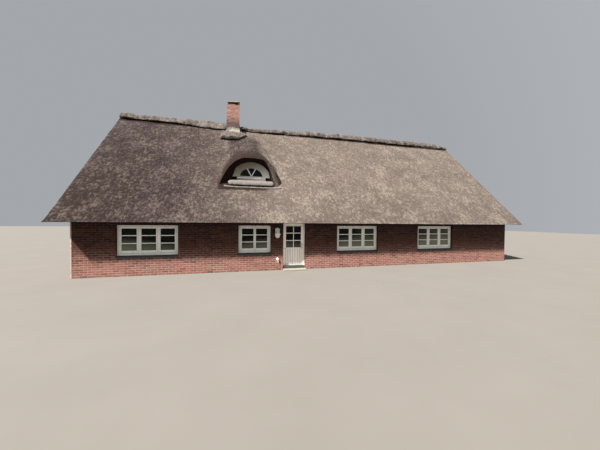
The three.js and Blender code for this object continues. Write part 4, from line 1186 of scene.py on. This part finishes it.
class CottageChimney(bpy.types.Operator):
    """Lays the chimney's bricks, its cement haunch, and the slab on its four piers."""

    bl_idname = "cottage.chimney"
    bl_label = "Chimney"

    def execute(self, context):
        brick = fired_brick("weathered chimney brick", linear("#453632"), linear("#89655b"),
                            linear("#a18179"))
        rng = np.random.default_rng(9)
        foot = CHIMNEY_TOP - 2.0
        half, deep = CHIMNEY_HALF + 0.006, CHIMNEY_DEEP + 0.006
        faces = (
            (FRONT, (CHIMNEY_X, -CHIMNEY_DEEP, 0), half, 0),
            (BACK, (CHIMNEY_X, CHIMNEY_DEEP, 0), half, 0),
            (LEFT, (CHIMNEY_X - CHIMNEY_HALF, 0, 0), deep, 1),
            (RIGHT, (CHIMNEY_X + CHIMNEY_HALF, 0, 0), deep, 1))
        crown = CHIMNEY_TOP + 0.045
        parts = [
            brick_face(*course_rows((-span, span), foot, crown, (), odd), basis, origin, rng)
            for basis, origin, span, odd in faces]
        shape = gather(*[shape for shape, _ in parts])
        # Rain and smoke have greyed its lower third
        grime = 0.55 * (1 - smooth((shape[0][:, 2] - 7.55) / 0.5))
        add_piece("bricks_chimney", shape, brick,
                  tone=np.concatenate([t for _, t in parts]) - grime)

        # The slab, a little out of level, on four piers of cut brick, set back and black, painted as
        # the slab's shade with some soot, and the mortar bed that they stand on
        low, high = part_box("chimney_cap")
        points, slab = bevelled_boxes((low.x + 0.05, low.y + 0.01, high.z - 0.045),
                                      (high.x + 0.02, high.y - 0.01, high.z), 0.012)
        points[:, 2] += 0.03 * (points[:, 0] - CHIMNEY_X) / CHIMNEY_HALF - 0.01
        add_piece("chimney_slab", (points, slab), plain_finish("weathered cast concrete"),
                  stands_for=["chimney_cap"])
        lows = [(CHIMNEY_X - CHIMNEY_HALF, -CHIMNEY_DEEP, CHIMNEY_TOP - 0.01)]
        highs = [(CHIMNEY_X + CHIMNEY_HALF, CHIMNEY_DEEP, crown - 0.002)]
        tone = [0.3]
        for sx, sy, course in product((-1, 1), (-1, 1), range(3)):
            x, y = CHIMNEY_X + sx * (CHIMNEY_HALF - 0.15), sy * (CHIMNEY_DEEP - 0.15)
            z = crown + course * 0.0535
            lows.append((x - 0.056, y - 0.056, z))
            highs.append((x + 0.056, y + 0.056, z + 0.051))
            tone.append(rng.uniform(0, 0.1))
        # Near black: painted shade under the slab, with some soot
        soot_and_shade_brick = fired_brick("sooty brick with painted shade", linear("#0d0b0a"), linear("#1a1614"), linear("#2b2522"))
        add_piece("chimney_piers", bevelled_boxes(lows, highs, 0.004), soot_and_shade_brick,
                  stands_for=["chimney_cap"], tone=np.repeat(tone, 24))

        shape, tone = haunch_ring()
        add_piece("cement_haunch", shape, plain_finish("mossy cement"),
                  rounded=60, tone=tone)
        return {"FINISHED"}


# Windows


def window_joinery(width, height, lights, mullion, rows, bar):
    """One window's frame, casements and bars as bevelled boxes, in the window's own frame: x
    across, y inward from the wall's face, z up from the frame's foot."""
    stile = 0.045 if mullion > 0.12 else 0.035
    post, jamb = mullion - 2 * stile - 0.006, FRAME_SIDE - stile - 0.003
    half = width / 2 - 0.001
    face, back = RECESS, RECESS + 0.07
    low, high = [], []

    def beam(x, y, z):
        low.append((x[0], y[0], z[0]))
        high.append((x[1], y[1], z[1]))

    beam((-half, -half + jamb), (face, back), (0.001, height - 0.001))
    beam((half - jamb, half), (face, back), (0.001, height - 0.001))
    beam((-half, half), (face + 0.002, back - 0.002), (height - 0.055, height - 0.001))
    beam((-half, half), (face - 0.004, back - 0.002), (0.001, 0.072))
    pane = (width - 2 * FRAME_SIDE - (lights - 1) * mullion) / lights
    open_height = height - FRAME_HEAD - FRAME_FOOT
    step = (open_height - (rows - 1) * CAD_BAR) / rows
    for light in range(lights):
        x0 = -width / 2 + FRAME_SIDE + light * (pane + mullion)
        x1 = x0 + pane
        if light:
            beam((x0 - stile - 0.003 - post, x0 - stile - 0.003), (face + 0.001, back - 0.001),
                 (0.06, height - 0.05))
        proud = (face - 0.008, back - 0.006)
        foot, head = 0.075, height - 0.058
        beam((x0 - stile, x0), proud, (foot, head))
        beam((x1, x1 + stile), proud, (foot, head))
        beam((x0 - stile, x1 + stile), (proud[0] + 0.001, proud[1]), (height - FRAME_HEAD, head))
        beam((x0 - stile, x1 + stile), (proud[0] + 0.001, proud[1]), (foot, FRAME_FOOT))
        beam((x0 - stile + 0.008, x1 + stile - 0.008), (face - 0.026, face), (0.08, 0.098))
        for row in range(1, rows):
            z = FRAME_FOOT + row * (step + CAD_BAR) - CAD_BAR / 2
            for near, far in ((face + 0.002, face + 0.0402), (face + 0.0465, face + 0.062)):
                beam((x0 - 0.005, x1 + 0.005), (near, far), (z - bar / 2, z + bar / 2))
    return bevelled_boxes(low, high, 0.005)


class CottageWindows(bpy.types.Operator):
    """Builds the casement windows on all four sides and glazes them."""

    bl_idname = "cottage.windows"
    bl_label = "Windows"

    def execute(self, context):
        paint, glass = white_paint(), window_glass()
        bar = context.scene.cottage_sizes.bar
        for name, x, y, z, turn, width, height, lights, mullion, rows in WINDOWS:
            points, faces = window_joinery(width, height, lights, mullion, rows, bar)
            angle = math.radians(turn)
            around = np.array([[math.cos(angle), -math.sin(angle), 0],
                               [math.sin(angle), math.cos(angle), 0], [0, 0, 1]])
            add_piece(f"{name}_joinery", (points @ around.T + (x, y, z), faces), paint,
                      stands_for=[f"{name}_frame"])
            finish_nodes(glass, f"{name}_glass")
        finish_nodes(plain_finish("riven slate"), *[f"window_{n}_sill" for n in (1, 2, 3, 4)])
        return {"FINISHED"}


def fan_outline(turns, half, rise, base, foot, foot_half):
    """A closed outline over the given parameter 0..1: the half ellipse
    (half cos a, base + rise sin a) for its first 70 per cent, then the foot from left to right,
    which is set in to its own half width."""
    arc = np.clip(turns / 0.7, 0, 1) * math.pi
    x = half * np.cos(arc)
    z = base + rise * np.sin(arc)
    corner = (0.7, 0.76, 0.79, 0.91, 0.94, 1)
    foot_x = np.interp(turns, corner, (-half, -foot_half, -foot_half, foot_half, foot_half, half))
    foot_z = np.interp(turns, corner, (base, base, foot, foot, base, base))
    return np.where(turns > 0.7, foot_x, x), np.where(turns > 0.7, foot_z, z)


def board_ring(inner, outer, front, back, steps=96, bands=6):
    """A flat board between two closed outlines: points mix from the inner outline to the outer
    one across the bands, on the front and on the back."""
    turns = np.arange(steps) / steps
    (xi, zi), (xo, zo) = fan_outline(turns, *inner), fan_outline(turns, *outer)
    mix = np.linspace(0, 1, bands + 1)[:, None]
    x, z = xi * (1 - mix) + xo * mix, zi * (1 - mix) + zo * mix
    rings = [np.stack([x[n], np.full(steps, front), z[n]], -1) for n in range(bands + 1)]
    rings += [np.stack([x[n], np.full(steps, back), z[n]], -1) for n in range(bands, -1, -1)]
    rings = np.stack(rings)
    count = len(rings)
    number = np.arange(count * steps).reshape(count, steps)
    below = np.roll(number, -1, 0)
    quads = np.stack([number, np.roll(number, -1, 1), np.roll(below, -1, 1), below], -1).reshape(-1, 4)
    points = rings.reshape(-1, 3) + (BOARD_X, 0, 0)
    return points, quads if volume(points - points.mean(0), quads) > 0 else quads[:, ::-1]


class CottageDormer(bpy.types.Operator):
    """Fits the dormer's arched board, the moulding round its fanlight and the two bars."""

    bl_idname = "cottage.dormer"
    bl_label = "Dormer window"

    def execute(self, context):
        front = BOARD_Y
        board = board_ring(
            (LIGHT_HALF + 0.02, LIGHT_RISE + 0.02, LIGHT_BASE, LIGHT_BASE - 0.02, LIGHT_HALF - 0.04),
            (BOARD_HALF - 0.002, BOARD_RISE, BOARD_SPRING + 0.04, BOARD_BASE - 0.05, 0.65),
            front, front + 0.03)
        mould = board_ring(
            (LIGHT_HALF, LIGHT_RISE, LIGHT_BASE, LIGHT_BASE - 0.003, LIGHT_HALF - 0.04),
            (LIGHT_HALF + 0.055, LIGHT_RISE + 0.055, LIGHT_BASE - 0.01, LIGHT_BASE - 0.075,
             LIGHT_HALF),
            front - 0.022, front + 0.06, bands=1)
        sill = bevelled_boxes((BOARD_X - LIGHT_HALF - 0.12, front - 0.06, LIGHT_BASE - 0.11),
                              (BOARD_X + LIGHT_HALF + 0.12, front + 0.02, LIGHT_BASE - 0.07), 0.006)
        bars = []
        for lean in (-0.5, 0.5):
            points, faces = bevelled_boxes((-0.019, front - 0.008, -0.01),
                                           (0.019, front + 0.05, 0.4), 0.004)
            length = 1 / math.hypot(math.sin(lean) / LIGHT_HALF, math.cos(lean) / LIGHT_RISE)
            points[:, 2] *= (length + 0.015) / 0.4
            x, z = points[:, 0].copy(), points[:, 2].copy()
            points[:, 0] = BOARD_X + x * math.cos(lean) + z * math.sin(lean)
            points[:, 2] = LIGHT_BASE - x * math.sin(lean) + z * math.cos(lean)
            bars.append((points, faces))
        add_piece("dormer_board_paint", gather(board, mould), shaded_board_paint(),
                  stands_for=["dormer_board"])
        add_piece("dormer_joinery", gather(sill, *bars), white_paint(),
                  stands_for=["dormer_board"])
        finish_nodes(window_glass(), "dormer_glass")
        return {"FINISHED"}


# Door


def door_boards():
    """Stiles, rails, beads and boards as bevelled boxes on both faces of the leaf. They stand
    4.5 mm off it, clear of the frame's stop and hinges, and the boards below the glass are 12 mm
    apart so that their grooves show."""
    stile, bar, bottom, top, bead = 0.095, 0.042, 0.938, 1.866, 0.014
    clear, proud, groove, bed = 0.0085, 0.0045, 0.006, 0.002
    left, right = LEAF_LEFT + stile - 0.003, LEAF_RIGHT - stile + 0.003
    head, edge = LEAF_HEAD - 0.001, LEAF_RIGHT - 0.001
    lows, highs = [], []

    def beam(x, z, out):
        for near, far in ((LEAF_FACE - out, LEAF_FACE + bed), (LEAF_BACK - bed, LEAF_BACK + out)):
            lows.append((x[0], near, z[0]))
            highs.append((x[1], far, z[1]))

    beam((LEAF_LEFT + clear, left), (bottom - 0.02, head), proud)
    beam((right, edge), (bottom - 0.02, head), proud)
    beam((left, right), (top + 0.003, head), 0.0042)
    beam((left, right), (bottom - 0.035, bottom - 0.003), 0.0042)
    beam((LEAF_LEFT + clear, edge), (LEAF_FOOT + 0.001, LEAF_FOOT + 0.03), 0.0047)
    middle = (LEAF_LEFT + LEAF_RIGHT) / 2
    beam((middle - bead, middle + bead), (bottom - 0.004, top + 0.004), 0.0038)
    step = (top - bottom - 2 * bar) / 3 + bar
    for row in (1, 2):
        z = bottom + row * step - bar / 2
        beam((LEAF_LEFT + stile - 0.004, LEAF_RIGHT - stile + 0.004), (z - bead, z + bead), 0.0034)
    joints = np.linspace(LEAF_LEFT + 0.001, edge, 12)
    for a, b in zip(joints[:-1], joints[1:]):
        beam((a + groove, b - groove), (LEAF_FOOT + 0.03, bottom - 0.036), proud)
    return bevelled_boxes(lows, highs, 0.0035)


def door_handles():
    """A plate and a round lever on each face, on a square spindle. A lever runs out along y and
    then along x, and its rings turn from the one axis to the other in its first third."""
    x, z = LEAF_RIGHT - 0.0495, 1.07
    parts = [bevelled_boxes((x - 0.006, LEAF_FACE - 0.045, z - 0.006),
                            (x + 0.006, LEAF_BACK + 0.045, z + 0.006), 0.001)]
    for out, y in ((-1, LEAF_FACE - 0.0047), (1, LEAF_BACK + 0.0047)):
        near, far = sorted((y, y + out * 0.006))
        parts.append(bevelled_boxes((x - 0.02, near, z - 0.13), (x + 0.02, far, z + 0.05), 0.002))
        t = np.linspace(0, 1, 9)[:, None]
        angle = np.arange(12) * math.pi / 6
        bend = smooth(t / 0.35)
        path_x = x - 0.112 * np.clip((t - 0.2) / 0.8, 0, 1)
        path_y = y + out * (0.006 + 0.034 * np.clip(t / 0.3, 0, 1))
        radius = 0.0085 - 0.0015 * t
        ring_x = path_x + radius * np.cos(angle) * (1 - bend)
        ring_y = path_y + radius * np.cos(angle) * bend * out
        ring_z = z + radius * np.sin(angle)
        parts.append(tube(np.stack(np.broadcast_arrays(ring_x, ring_y, ring_z), -1)))
    return gather(*parts)


class CottageDoor(bpy.types.Operator):
    """Dresses the front door: rails, grooved boards, bars and handles."""

    bl_idname = "cottage.door"
    bl_label = "Front door"

    def execute(self, context):
        paint = plain_finish("fresh oil paint")
        finish_nodes(paint, "door_frame")
        # The leaf itself shows only in the grooves and beside the bars, and its dark paint there is
        # painted shade
        finish_nodes(plain_finish("dark oil paint with painted shade"), "door_leaf")
        finish_nodes(window_glass(), "door_glass")
        add_piece("door_rails", door_boards(), paint, body="door")
        add_piece("door_levers", door_handles(), dull_steel(), body="door",
                  stands_for=["door_handle"], rounded=35)
        return {"FINISHED"}


# Things fixed to the front wall, floors and timber


def lantern_metal(place, wall):
    """A turned bowl, lid and candle tube, eight ribs round the panes that lean out by 16 mm, and
    the plate and arm on the wall."""
    x, y, _ = place
    parts = [
        turned([(0.002, 0), (0.03, 0.006), (0.052, 0.018), (0.076, 0.042), (0.094, 0.074),
                (0.106, 0.11), (0.112, 0.15), (0.113, 0.2), (0.095, 0.232), (0.08, 0.236)], place),
        turned([(0.09, 0.38), (0.1, 0.39), (0.098, 0.402), (0.055, 0.43), (0.018, 0.44),
                (0.018, 0.448), (0.002, 0.449)], place),
        turned([(0.002, 0.19), (0.02, 0.19), (0.02, 0.3), (0.002, 0.3)], place, 12),
        bevelled_boxes((x - 0.045, wall - 0.012, 1.5), (x + 0.045, wall, 1.72), 0.004),
        bevelled_boxes((x - 0.011, y, 1.601), (x + 0.011, wall - 0.004, 1.623), 0.003)]
    for n in range(8):
        angle = (n + 0.5) * math.pi / 4
        points, faces = bevelled_boxes((-0.006, -0.006, 0), (0.006, 0.006, 1), 0.002)
        radius = 0.077 + 0.016 * points[:, 2:]
        spin = np.array([[math.cos(angle), math.sin(angle)], [-math.sin(angle), math.cos(angle)]])
        points[:, :2] = points[:, :2] @ spin + radius * (math.cos(angle), math.sin(angle))
        points[:, 2] = 0.19 + 0.2 * points[:, 2]
        parts.append((points + place, faces))
    return gather(*parts)


def outlet_metal(x, z, wall):
    """A round plate on the wall, turned about y, with a short spout that points down."""
    points, faces = turned([(0.002, 0), (0.06, 0), (0.06, 0.012), (0.055, 0.016), (0.053, 0.05),
                            (0.045, 0.06), (0.03, 0.063), (0.002, 0.063)], (0, 0, 0), 28)
    points = points @ np.array([[1, 0, 0], [0, 0, 1], [0, -1, 0]]) + (x, wall, z)
    spout = turned([(0.010, 0), (0.014, 0), (0.014, 0.11), (0.017, 0.11), (0.017, 0.125),
                    (0.010, 0.125)][::-1], (x + 0.02, wall - 0.045, z - 0.13), 16)
    return gather((points, faces), spout)


class CottageFittings(bpy.types.Operator):
    """Hangs the lantern and the outlet, and finishes stone, floors and timber."""

    bl_idname = "cottage.fittings"
    bl_label = "Fittings, floors and timber"

    def execute(self, context):
        wall = -HALF_DEPTH - 0.009
        enamel = plain_finish("off-white stove enamel")
        lantern = (-2.7, -4.63, 1.37)
        add_piece("lantern", lantern_metal(lantern, wall), enamel, stands_for=["wall_lamp"])
        add_piece("lantern_panes", turned(
            [(0.073, 0.19), (0.088, 0.392), (0.085, 0.392), (0.07, 0.19)], lantern, 8),
            frosted_glass(), stands_for=["wall_lamp"])
        add_piece("outlet", outlet_metal(-2.68, 0.47, wall), enamel, stands_for=["garden_tap"],
                  rounded=40)
        add_piece("corner_board",
                  bevelled_boxes((-10.01, wall, 0.001), (-9.972, wall + 0.019, 1.984), 0.002),
                  plain_finish("greyed oil paint"), stands_for=["corner_strip"])
        for name, *nodes in (("grey-green sandstone", "door_threshold"),
                             ("pale cast stone", "door_step"),
                             ("smooth floor screed", "ground_floor"),
                             ("sawn pine", "loft_floor", "rafters_front", "rafters_back")):
            finish_nodes(plain_finish(name), *nodes)
        return {"FINISHED"}


class CottagePanel(bpy.types.Panel):
    """Lists the cottage's sizes, colours and pieces in the sidebar."""

    bl_idname = "VIEW3D_PT_cottage"
    bl_label = "Thatched cottage"
    bl_space_type = "VIEW_3D"
    bl_region_type = "UI"
    bl_category = "Cottage"

    def draw(self, context):
        for group in (context.scene.cottage_sizes, context.scene.cottage_colours):
            for name in group.bl_rna.properties.keys():
                if name not in ("rna_type", "name"):
                    self.layout.prop(group, name)
        for operator in OPERATORS:
            self.layout.operator(operator.bl_idname)


OPERATORS = (CottageStage, CottageThatch, CottageRidge, CottageBricks, CottageChimney,
             CottageWindows, CottageDormer, CottageDoor, CottageFittings)
CLASSES = (CottageSizes, CottageColours, *OPERATORS, CottagePanel)


def register():
    for cls in CLASSES:
        bpy.utils.register_class(cls)
    bpy.types.Scene.cottage_sizes = PointerProperty(type=CottageSizes)
    bpy.types.Scene.cottage_colours = PointerProperty(type=CottageColours)


def unregister():
    del bpy.types.Scene.cottage_sizes, bpy.types.Scene.cottage_colours
    for cls in reversed(CLASSES):
        bpy.utils.unregister_class(cls)


def main():
    register()
    bpy.ops.cottage.stage()
    bpy.ops.cottage.thatch()
    bpy.ops.cottage.ridge()
    bpy.ops.cottage.bricks()
    bpy.ops.cottage.chimney()
    bpy.ops.cottage.windows()
    bpy.ops.cottage.dormer()
    bpy.ops.cottage.door()
    bpy.ops.cottage.fittings()


if __name__ == "__main__":
    main()
